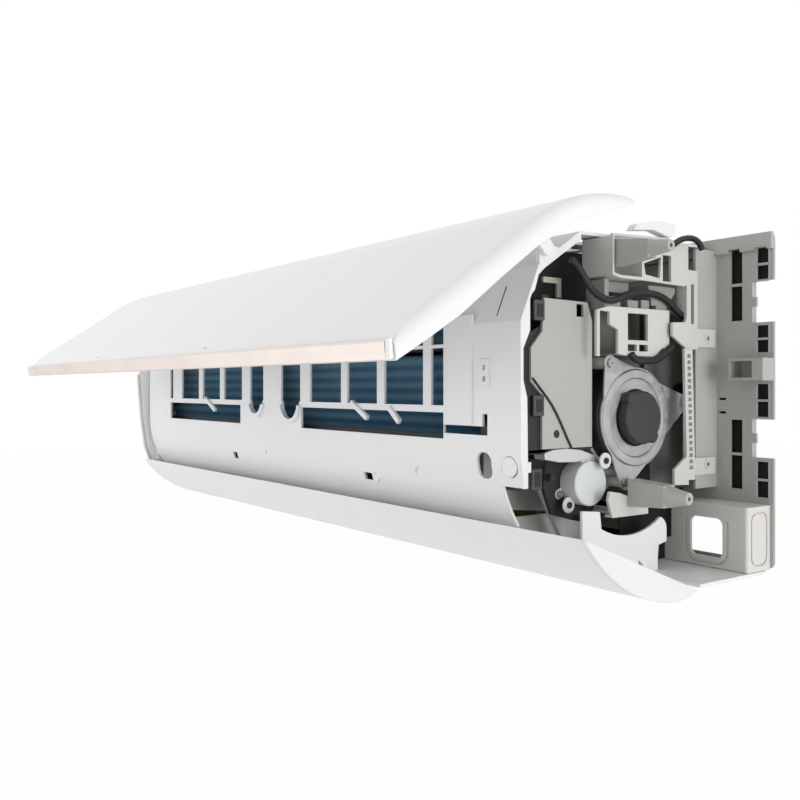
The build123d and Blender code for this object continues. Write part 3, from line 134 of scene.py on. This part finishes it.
lamps = [  # name, place, what it points at, side of the square, watts
    ("over_panel", (-1.3, -1.9, 1.3), (0, -0.2, 0.05), 1.6, 6.5),
    ("service_side", (2.3, -0.1, 0.1), (0.35, -0.12, 0.0), 1.0, 17.0),
    ("from_front", (-0.9, -2.4, -0.15), (0.0, -0.2, -0.05), 1.6, 19.0),
]
for name, at, aim, size, power in lamps:
    lamp = bpy.data.objects.new(name, bpy.data.lights.new(name, "AREA"))
    lamp.data.size = size
    lamp.data.energy = power
    lamp.location = at
    lamp.rotation_euler = (Vector(aim) - Vector(at)).to_track_quat("-Z", "Y").to_euler()
    collection.objects.link(lamp)

floor_z = -0.62
floor_half = 8.0
floor_glow = 0.97  # share of plain white in what the eye sees of the floor
floor_mesh = bpy.data.meshes.new("floor")
quarters = [(-1, -1), (1, -1), (1, 1), (-1, 1)]
floor_mesh.from_pydata([(x * floor_half, y * floor_half, floor_z) for x, y in quarters], [], [(0, 1, 2, 3)])
floor = bpy.data.objects.new("floor", floor_mesh)
collection.objects.link(floor)
floor_paint = bpy.data.materials.new("floor_white")
floor_paint.use_nodes = True
ground = Recipe(floor_paint.node_tree)
ground.feed(floor_paint.node_tree.nodes["Principled BSDF"],
            {"Base Color": (0.93, 0.93, 0.93, 1), "Roughness": 0.9, "Specular IOR Level": 0.1})
lit = floor_paint.node_tree.nodes["Principled BSDF"].outputs[0]
glow = ground.node("Emission", sockets={"Color": (1, 1, 1, 1), "Strength": 1.0})
direct = ground.node("LightPath", out="Is Camera Ray")
glossy = ground.node("LightPath", out="Is Glossy Ray")
share = direct.maths("MAXIMUM", glossy) * floor_glow
mix = ground.node("MixShader", sockets={0: share, 1: Wire(ground, lit), 2: glow})
ground.feed(floor_paint.node_tree.nodes["Material Output"], {"Surface": mix})
floor_mesh.materials.append(floor_paint)

# ---------------------------------------------------------------- rear chassis and pipe corner
# One-piece moulding in matte warm grey that lies on the wall, and the grey corner box through
# which the pipes leave.


class Finish(Recipe):
    """The finish of a piece: one Principled shader and what varies over the surface."""

    def __init__(self, name, metallic=0.0):
        self.material = bpy.data.materials.new(name)
        self.material.use_nodes = True
        super().__init__(self.material.node_tree)
        self.shader = self.tree.nodes["Principled BSDF"]
        self.feed(self.shader, {"Metallic": metallic})
        self.where = self.node("TexCoord", out="Object")

    def noise(self, scale, detail=2.0, stretch=None):
        place = self.where
        if stretch:
            place = self.node("Mapping", sockets={"Vector": place, "Scale": stretch})
        return self.node("TexNoise", sockets={"Vector": place, "Scale": scale, "Detail": detail})

    def blend(self, share, first, second):
        """Mixes two colours. The colour sockets of a Mix node are told apart by number only."""
        made = self.tree.nodes.new("ShaderNodeMix")
        made.data_type = "RGBA"
        self.feed(made, {0: share, 6: first, 7: second})
        return Wire(self, made.outputs[2])

    def relief(self, height, distance, edge):
        """Bump from a height, over edges that are rounded to the radius edge."""
        sockets = {"Height": height, "Distance": distance, "Strength": 1.0}
        if edge:
            sockets["Normal"] = self.node("Bevel", {"samples": 4}, {"Radius": edge})
        return self.node("Bump", sockets=sockets)

    def set(self, **sockets):
        names = {"colour": "Base Color", "roughness": "Roughness", "normal": "Normal"}
        self.feed(self.shader, {names[key]: value for key, value in sockets.items()})
        return self.material


def moulded(name, colour, roughness, grain=0.0005, depth=0.00003, edge=0.0006, mottle=0.05):
    """Injection-moulded plastic: fine grain, faint flow clouds, corners that are never sharp."""
    finish = Finish(name)
    clouds = finish.noise(9.0, 3.0)
    deep = tuple(v * (1 - mottle) for v in colour[:3]) + (1,)
    height = finish.noise(1 / grain, 1.0)
    return finish.set(colour=finish.blend(clouds, deep, colour), roughness=clouds * 0.1 + (roughness - 0.05),
                      normal=finish.relief(height, depth, edge))


def dress(material, *names):
    """Gives construction nodes their finish."""
    for name in names:
        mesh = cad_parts[name].data
        mesh.materials.clear()
        mesh.materials.append(material)


def piece(name, mesh, material, body="unit"):
    """A shown object from a mesh, riding on a body."""
    made = bpy.data.objects.new(name, mesh)
    collection.objects.link(made)
    mesh.materials.clear()
    mesh.materials.append(material)
    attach(made, body)
    return made


def slab(name, corners, low, high, material, axis="x", body="unit", soften=0.0005):
    """Plate with an outline across an axis, between two places on it, its edges softened.
    Corners are (y, z) across x and (x, z) across y."""
    form = bmesh.new()
    at = (lambda a, b, c: (c, a, b)) if axis == "x" else (lambda a, b, c: (a, c, b))
    ring = [form.verts.new(at(a, b, low)) for a, b in corners]
    face = form.faces.new(ring)
    moved = bmesh.ops.extrude_face_region(form, geom=[face])["geom"]
    step = Vector(at(0, 0, high - low))
    bmesh.ops.translate(form, vec=step, verts=[v for v in moved if isinstance(v, bmesh.types.BMVert)])
    if soften:
        bmesh.ops.bevel(form, geom=form.edges[:], offset=soften, segments=2, affect="EDGES", profile=0.5)
    bmesh.ops.recalc_face_normals(form, faces=form.faces[:])
    mesh = bpy.data.meshes.new(name)
    form.to_mesh(mesh)
    form.free()
    return piece(name, mesh, material, body)


def rectangle(low, high):
    """Corners of an upright rectangle."""
    return [low, (high[0], low[1]), high, (low[0], high[1])]


def disc(centre, radius, sides=32):
    """Corners of a round outline."""
    turns = [2 * math.pi * i / sides for i in range(sides)]
    return [(centre[0] + radius * math.cos(t), centre[1] + radius * math.sin(t)) for t in turns]


def washer(name, centre, hole, radius, low, high, material, sides=64):
    """Flat ring round a line along x, from four circles joined in turn."""
    circles = ((low, hole), (low, radius), (high, radius), (high, hole))
    corners = [(x, *corner) for x, r in circles for corner in disc(centre, r, sides)]
    faces = []
    for number in range(len(circles)):
        here, there = number * sides, (number + 1) % len(circles) * sides
        for i in range(sides):
            after = (i + 1) % sides
            faces.append((here + i, here + after, there + after, there + i))
    mesh = bpy.data.meshes.new(name)
    mesh.from_pydata(corners, [], faces)
    return piece(name, mesh, material)


chassis_grey = moulded("chassis_grey", tint(178, 176, 172), 0.55)
dress(chassis_grey, "rear_chassis")
corner_grey = moulded("corner_grey", tint(214, 212, 208), 0.5)
dress(corner_grey, "pipe_corner")

# Black sheets on the thin backs of the slots, pockets and the two short slits are painted shade: they stand
# for the dark shade deep in these openings. The same black material is the real foam on the pipes and in the
# pipe channel.
foam_and_shade_black = moulded("foam_and_shade_black", tint(18, 18, 19), 0.95, grain=0.0015, depth=0.0002)
shade_pad_y = (-0.0032, -0.0027)
slots_x, pockets_x, slits_x = (0.3888, 0.4092), (0.4125, 0.4248), (0.378, 0.3882)
shade_pads = [  # across and upright extent of each pad
    (slots_x, (-0.0845, 0.1315)), (pockets_x, (0.1025, 0.1305)), (pockets_x, (0.0405, 0.065)),
    (pockets_x, (-0.0145, 0.0145)), (pockets_x, (-0.083, -0.0515)), (slits_x, (-0.0135, 0.0035)),
]
for number, extent in enumerate(shade_pads):
    slab("slot_shade_pad_" + str(number + 1), rectangle(*zip(*extent)), *shade_pad_y, foam_and_shade_black, "y", soften=0)

# ---------------------------------------------------------------- bottom cover
# White cover under the pipe channel, moulded in one piece with the two end walls that carry the
# louvre.
cover_white = moulded("cover_white", tint(232, 232, 231), 0.5)
dress(cover_white, "bottom_cover")

# ---------------------------------------------------------------- air duct and fan
# The rear wall of the duct is a light grey moulding, the drain pan a dark one; the fan is
# glass-filled plastic, darker still, on a steel stub in a rubber bush.
duct_grey = moulded("duct_grey", tint(70, 72, 75), 0.6)
scroll_grey = moulded("scroll_grey", tint(196, 195, 192), 0.55)
fan_grey = moulded("fan_grey", tint(58, 60, 63), 0.55, grain=0.0003)
dress(scroll_grey, "scroll_housing")
dress(duct_grey, "drain_pan")
dress(fan_grey, "cross_flow_fan")
rubber = moulded("rubber_black", tint(22, 22, 23), 0.75, edge=0.0004)
dress(rubber, "fan_bearing")


def sheet_metal(name, colour, roughness, spangle=0.0, drawn=None, edge=0.0004):
    """Bare metal: its rolling lines or its zinc flowers vary the gloss and, a little, the colour."""
    finish = Finish(name, metallic=1.0)
    fine = finish.noise(300.0, 2.0, drawn or (1.0, 1.0, 1.0))
    rough = fine * 0.16 + (roughness - 0.08)
    tone = finish.noise(22.0, 2.0)
    if spangle:
        cells = finish.node("TexVoronoi", {"feature": "F1"}, {"Vector": finish.where, "Scale": 1 / spangle},
                            out="Color")
        flower = finish.node("SeparateColor", sockets={0: cells})
        rough = rough + flower * 0.14
        tone = flower
    deep = tuple(v * 0.84 for v in colour[:3]) + (1,)
    return finish.set(colour=finish.blend(tone, deep, colour), roughness=rough,
                      normal=finish.relief(fine, 0.00002, edge))


steel = sheet_metal("turned_steel", tint(170, 171, 173), 0.32, drawn=(6.0, 1.0, 1.0))
dress(steel, "fan_shaft", "motor_shaft")

# ---------------------------------------------------------------- fan motor
# A resin-moulded motor with a dark end cap lies in a light cradle. The pressed clamp that holds it
# is galvanised sheet on three steel screws, and a flat ring shows inside its bead.
motor_resin = moulded("motor_resin", tint(34, 34, 35), 0.65, grain=0.0012, depth=0.00008)
dress(motor_resin, "motor_body")
cap_black = moulded("cap_black", tint(44, 45, 48), 0.5)
dress(cap_black, "motor_cap")
galvanised = sheet_metal("galvanised", tint(186, 188, 190), 0.46, spangle=0.006)
dress(galvanised, "motor_clamp")
zinc = sheet_metal("zinc_plated", tint(188, 189, 190), 0.3)
dress(zinc, "clamp_screws", "small_screws", "earth_strip")
ring_centre, ring_hole, ring_radius, ring_x = (-0.105, -0.014), 0.0240, 0.0332, (0.3672, 0.3678)
washer("motor_ring", ring_centre, ring_hole, ring_radius, *ring_x, galvanised)
frame_grey = moulded("frame_grey", tint(206, 204, 199), 0.5)
dress(frame_grey, "motor_cradle", "motor_foot", "motor_bracket")

# ---------------------------------------------------------------- service end mouldings
# The light wall beside the chassis, its two posts for the side cover, the perforated strip, the upper frame
# and the white latch on top, all moulded plastic. The upper frame's darker grey is painted shade.
service_grey = moulded("service_grey", tint(206, 204, 199), 0.5)
dress(service_grey, "service_wall", "perforated_strip")
post_grey = moulded("post_grey", tint(178, 176, 171), 0.5)
dress(post_grey, "upper_post", "lower_post")
# Painted shade: a darker copy of the service grey stands for the shade that falls on the upper frame.
upper_shade_grey = moulded("upper_shade_grey", tint(150, 148, 144), 0.5)
dress(upper_shade_grey, "upper_frame")
latch_white = moulded("latch_white", tint(236, 236, 235), 0.4)
dress(latch_white, "top_hook")

# A grey guard closes the pipe space beside the motor and behind the bracket, black foam the end
# of the pipe channel. A rubber grommet lies on the guard.
guard_grey = moulded("guard_grey", tint(112, 110, 107), 0.6)
guard_x = (0.3456, 0.3470)
wall_edge, guard_foot, guard_top = -0.014, -0.080, 0.077
slab("pipe_guard", [(-0.068, 0.028), (-0.060, 0.020), (-0.060, guard_foot), (wall_edge, guard_foot),
                    (wall_edge, guard_top), (-0.068, guard_top)], *guard_x, guard_grey)
slab("bracket_guard", rectangle((-0.150, 0.029), (-0.0420, guard_top)), 0.3405, 0.3416, guard_grey)
slab("channel_foam", rectangle((-0.1000, -0.142), (wall_edge, guard_foot)), *guard_x, foam_and_shade_black)
slab("grommet", disc((-0.0185, 0.0), 0.0150), 0.3472, 0.3480, rubber)

# ---------------------------------------------------------------- control box
# Flame-retardant black box with a grey cover; the board and its parts stand inside.
box_black = moulded("box_black", tint(27, 27, 29), 0.6)
dress(box_black, "control_box", "terminal_block", "louvre_motor_bracket")
cover_grey = moulded("cover_grey", tint(178, 177, 173), 0.5)
dress(cover_grey, "control_box_cover")
board_green = moulded("board_green", tint(40, 92, 62), 0.4)
dress(board_green, "circuit_board")

# The front wall of the box shows beside the cover, with three snap clips on it; a cream socket
# stands in the open top.
slab("box_wall", [(-0.2272, 0.046), (-0.2162, 0.054), (-0.2042, 0.0602), (-0.2042, 0.084), (-0.196, 0.084),
                  (-0.196, -0.041), (-0.2268, -0.041)], 0.3562, 0.3580, box_black)
clip_grey = moulded("clip_grey", tint(66, 66, 67), 0.45)
clips = [  # place along x and two corners of each clip
    (0.3610, (-0.2152, 0.0630), (-0.2042, 0.0790)),
    (0.3610, (-0.2160, -0.0110), (-0.2048, 0.0050)),
    (0.3500, (-0.2070, -0.0700), (-0.1963, -0.0530)),
]
clip_front, clip_back, slot_front = 0.0008, 0.002, 0.0012
for number, (x, low, high) in enumerate(clips):
    slab("box_clip_" + str(number + 1), rectangle(low, high), x - clip_back, x + clip_front, clip_grey)
    inner = rectangle((low[0] + 0.003, low[1] + 0.003), (high[0] - 0.002, high[1] - 0.003))
    slab("box_clip_slot_" + str(number + 1), inner, x + clip_front, x + slot_front, box_black, soften=0)
socket_cream = moulded("socket_cream", tint(232, 229, 212), 0.45)
slab("socket", [(-0.1614, 0.1050), (-0.1399, 0.1050), (-0.1399, 0.0880), (-0.1448, 0.0880), (-0.1448, 0.1000),
                (-0.1614, 0.1000)], 0.3138, 0.3170, socket_cream)
slab("cover_hole", disc((-0.1905, -0.0255), 0.0032, 20), 0.3608, 0.3610, box_black, soften=0)

# A bright curved earth strip bridges the box and the stepper bracket.
strip_bright = sheet_metal("strip_bright", tint(208, 209, 208), 0.5)
bowed = [(-0.2040, -0.0452), (-0.2046, -0.0400), (-0.1950, -0.0378), (-0.1800, -0.0372), (-0.1640, -0.0390),
         (-0.1510, -0.0430), (-0.1560, -0.0470), (-0.1700, -0.0486), (-0.1880, -0.0480)]
earth = slab("earth_strip_curved", bowed, 0.3500, 0.3620, strip_bright)
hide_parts("earth_strip")

# ---------------------------------------------------------------- evaporator
# Dark blue-green coated aluminium fins between galvanised end plates, copper return bends. The
# two lines to the outdoor unit are lagged with black foam and end in brass flare nuts.


def row(name, seed, count, step, material):
    """Copies of a seed mesh in a straight row, made by a geometry tree, as one plain mesh."""
    tree = bpy.data.node_groups.new(name + "_row", "GeometryNodeTree")
    tree.interface.new_socket("Seed", in_out="INPUT", socket_type="NodeSocketGeometry")
    tree.interface.new_socket("Count", in_out="INPUT", socket_type="NodeSocketInt").default_value = count
    tree.interface.new_socket("Step", in_out="INPUT", socket_type="NodeSocketVector").default_value = step
    tree.interface.new_socket("Row", in_out="OUTPUT", socket_type="NodeSocketGeometry")
    given, result = tree.nodes.new("NodeGroupInput"), tree.nodes.new("NodeGroupOutput")
    line, copies = tree.nodes.new("GeometryNodeMeshLine"), tree.nodes.new("GeometryNodeInstanceOnPoints")
    real, paint = tree.nodes.new("GeometryNodeRealizeInstances"), tree.nodes.new("GeometryNodeSetMaterial")
    paint.inputs["Material"].default_value = material
    links = (
        (given.outputs["Count"], line.inputs["Count"]),
        (given.outputs["Step"], line.inputs["Offset"]),
        (line.outputs["Mesh"], copies.inputs["Points"]),
        (given.outputs["Seed"], copies.inputs["Instance"]),
        (copies.outputs["Instances"], real.inputs[0]),
        (real.outputs[0], paint.inputs["Geometry"]),
        (paint.outputs["Geometry"], result.inputs["Row"]),
    )
    for start, end in links:
        tree.links.new(start, end)
    holder = bpy.data.objects.new(name + "_seed", seed)
    collection.objects.link(holder)
    holder.modifiers.new("row", "NODES").node_group = tree
    view = bpy.context.evaluated_depsgraph_get()
    mesh = bpy.data.meshes.new_from_object(holder.evaluated_get(view))
    bpy.data.objects.remove(holder)
    mesh.name = name
    return mesh


fin_pitch = 0.0016
fin_depth = 0.026
ripple = 0.0007  # depth of the corrugation of a fin's outer edge
ripple_length = 0.0053
ripple_shade_pitch = 0.0105  # upright distance of the painted light and shade bands, which copy the shading of the rippled fin edges
fin_finish = Finish("fin_blue", metallic=0.25)
# Painted light and shade: the colour rises and falls in bands along the height, for the shading of the
# rippled fin edges; the noise patches are random tone.
height = fin_finish.node("SeparateXYZ", sockets={0: fin_finish.where}, out=2)
painted_ripple_band = fin_finish.node("Math", {"operation": "SINE"}, {0: height * (2 * math.pi / ripple_shade_pitch)})
patch = fin_finish.noise(14.0, 2.0, (0.15, 1.0, 1.0))
shade = painted_ripple_band * 0.3 + patch * 0.5 + 0.25
fin_blue = fin_finish.set(colour=fin_finish.blend(shade, tint(92, 146, 180), tint(172, 206, 222)),
                          roughness=patch * 0.2 + 0.3)
coil_lines = {  # (y, z) of both ends of the middle line of each stack
    "coil_lower_front": ((-0.190, -0.051), (-0.200, 0.040)),
    "coil_upper_front": ((-0.190, 0.054), (-0.120, 0.121)),
    "coil_rear": ((-0.100, 0.122), (-0.052, 0.050)),
}
for node, (low, high) in coil_lines.items():
    left, right = (corner[0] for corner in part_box(node))
    run = Vector((0, high[0] - low[0], high[1] - low[1]))
    out = Vector((0, -run.z, run.y)).normalized() * (fin_depth / 2)
    start = Vector((left, *low))
    waves = round(run.length / ripple_length)
    notch = ripple / fin_depth * 2
    edge = [start + run * (i / waves) + out * (1 - notch * (i % 2)) for i in range(waves + 1)]
    seed = bpy.data.meshes.new(node + "_fin")
    corners = edge + [start + run - out, start - out]
    seed.from_pydata([tuple(v) for v in corners], [], [tuple(range(len(corners)))])
    fins = row(node + "_fins", seed, round((right - left) / fin_pitch), (fin_pitch, 0, 0), fin_blue)
    stack = piece(node + "_fins", fins, fin_blue)
    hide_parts(node)
dress(galvanised, "coil_end_plates")
copper = sheet_metal("copper_tube", tint(196, 128, 92), 0.28, drawn=(1.0, 3.0, 3.0))
dress(copper, "coil_bends")
dress(foam_and_shade_black, "gas_pipe", "liquid_pipe")
brass = sheet_metal("brass_nut", tint(205, 172, 102), 0.3)
dress(brass, "flare_unions")

# ---------------------------------------------------------------- louvre
# Full-width flap in gloss white, the small geared motor that turns it, with its two screwed ears,
# and the white crank and link between them.
louvre_white = moulded("louvre_white", tint(230, 230, 230), 0.3, depth=0.00001)
dress(louvre_white, "louvre", "louvre_end_caps")
can_grey = moulded("can_grey", tint(218, 222, 218), 0.5)
dress(can_grey, "louvre_motor")
motor_ears = [(0.3676, (-0.1411, -0.0484)), (0.3515, (-0.1668, -0.0842))]
ear_radius, ear_sheet = 0.0066, 0.0016
eyelet_hole, eyelet_radius, eyelet_height = 0.0008, 0.0026, 0.0012
for number, (x, centre) in enumerate(motor_ears):
    slab("stepper_ear_" + str(number + 1), disc(centre, ear_radius, 28), x - ear_sheet, x, can_grey)
    washer("stepper_eyelet_" + str(number + 1), centre, eyelet_hole, eyelet_radius, x, x + eyelet_height,
           box_black, 24)
drive_white = moulded("drive_white", tint(222, 222, 219), 0.45)
dress(drive_white, "louvre_crank", "louvre_link")

# ---------------------------------------------------------------- vertical vanes
# Upright vanes of dark grey plastic stand in the outlet in two gangs, each gang joined by one bar.
# They steer the air to the sides.
vane_count = 8
dress(duct_grey, *["vane_" + str(i + 1) for i in range(vane_count)], "left_vane_bar", "right_vane_bar")

# ---------------------------------------------------------------- front casing
# One thin white moulding with a faint satin grain: the grid of windows before the lower coil, the
# air intake on top and the ears of the panel's hinge. The round button is of the same plastic.
casing_white = moulded("casing_white", tint(234, 234, 235), 0.42)
dress(casing_white, "front_casing", "manual_button")

# The teardrop dents have white floors, and a thin dark slit stands beside the service opening.
dents = [(-0.062, -0.2268, -0.065), (0.158, -0.2250, -0.073), (0.229, -0.2270, -0.062)]
dent_radius, dent_sheet = 0.0056, 0.0010
for number, (x, y, z) in enumerate(dents):
    slab("dent_floor_" + str(number + 1), disc((x, z), dent_radius, 24), y, y + dent_sheet, casing_white, "y",
         soften=0)
slit = [(-0.2300, 0.0671), (-0.2198, 0.0911), (-0.2188, 0.0909), (-0.2290, 0.0669)]
slab("casing_slit", slit, 0.3342, 0.3352, clip_grey, soften=0)

# ---------------------------------------------------------------- left end cap
# A high-gloss white shell, moulded in one piece, that closes the left end. Its relief is only the
# faint waviness of a gloss moulding.
gloss_white = moulded("gloss_white", tint(240, 240, 240), 0.2, grain=0.004, depth=0.00002)
dress(gloss_white, "left_end_cap")

# ---------------------------------------------------------------- front panel
# A crowned gloss white tray on two arms, hinged at its top edge. A pale champagne trim of drawn
# metal runs along its lower edge, and a piece of the same trim down the left end cap.
dress(gloss_white, "front_panel")
trim_gold = sheet_metal("trim_gold", tint(222, 212, 207), 0.55, drawn=(0.05, 1.0, 1.0))
dress(trim_gold, "panel_trim", "left_side_trim")

# A white notched cap closes the right end of the trim.
hinge = (-0.2074, 0.1187)
lift = math.radians(-60)
trim_gap, trim_cap = 0.0002, 0.0045
notched = [(-0.2362, -0.0862), (-0.2362, -0.0893), (-0.2250, -0.0950), (-0.2245, -0.0915)]


def lifted(y, z):
    """Where a point of the closed panel stands with the panel lifted about its hinge."""
    y, z = y - hinge[0], z - hinge[1]
    cosine, sine = math.cos(lift), math.sin(lift)
    return hinge[0] + y * cosine - z * sine, hinge[1] + y * sine + z * cosine


trim_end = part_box("panel_trim")[1][0]
slab("trim_end_cap", [lifted(*corner) for corner in notched], trim_end + trim_gap, trim_end + trim_cap,
     gloss_white, body="panel")

# ---------------------------------------------------------------- wiring and small fittings
# Leads with a smooth black jacket. The loom leaves the control box at the top and runs back, past
# the face of the upper frame; a short lead arches over the top, the motor lead runs under the motor
# bracket and the thin sensor wire over the grey cover.


def cable(name, x, route, radius, material):
    """Smooth round cable in a plane across the unit."""
    line = bpy.data.curves.new(name, "CURVE")
    line.dimensions = "3D"
    line.bevel_depth = radius
    line.bevel_resolution = 3
    line.use_fill_caps = True
    spline = line.splines.new("NURBS")
    spline.points.add(len(route) - 1)
    for point, (y, z) in zip(spline.points, route):
        point.co = (x, y, z, 1)
    spline.order_u = 4
    spline.use_endpoint_u = True
    spline.resolution_u = 8
    line.materials.append(material)
    made = bpy.data.objects.new(name, line)
    collection.objects.link(made)
    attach(made, "unit")


jacket = moulded("jacket_black", tint(11, 11, 12), 0.5, edge=0)
cable("loom", 0.3752, [
    (-0.1892, 0.110), (-0.1803, 0.106), (-0.1713, 0.091), (-0.1563, 0.0824), (-0.1398, 0.0800),
    (-0.1302, 0.0856), (-0.1098, 0.0901), (-0.0887, 0.0897), (-0.0703, 0.0853), (-0.0596, 0.0751),
    (-0.0472, 0.0705),
], 0.0029, jacket)
cable("top_lead", 0.3845, [
    (-0.0765, 0.1310), (-0.0700, 0.1350), (-0.0620, 0.1380), (-0.0490, 0.1392), (-0.0410, 0.1360),
    (-0.0380, 0.1300),
], 0.0026, jacket)
cable("motor_lead", 0.3768, [
    (-0.1215, 0.0390), (-0.1185, 0.0333), (-0.1044, 0.0330), (-0.0887, 0.0333), (-0.0780, 0.0401),
    (-0.0690, 0.0455),
], 0.0032, jacket)
cable("sensor_wire", 0.3617, [
    (-0.2171, 0.0184), (-0.2090, 0.0100), (-0.1985, 0.0010), (-0.1880, -0.0140), (-0.1790, -0.0300),
    (-0.1745, -0.0370),
], 0.0009, jacket)

# Three slanting white clips stand on the grid of windows.
grid_clips = [  # both ends of the middle line of each, as (x, z)
    ((-0.2242, -0.0027), (-0.193, -0.0176)), ((0.1268, -0.0031), (0.155, -0.0179)),
    ((0.1914, -0.0072), (0.2071, -0.020)),
]
clip_half, clip_y = 0.0025, (-0.2345, -0.2305)
for number, (start, end) in enumerate(grid_clips):
    along = Vector((end[0] - start[0], 0, end[1] - start[1])).normalized() * clip_half
    slab("grid_clip_" + str(number + 1),
         [(start[0] + along.z, start[1] - along.x), (end[0] + along.z, end[1] - along.x),
          (end[0] - along.z, end[1] + along.x), (start[0] - along.z, start[1] + along.x)],
         *clip_y, casing_white, "y")
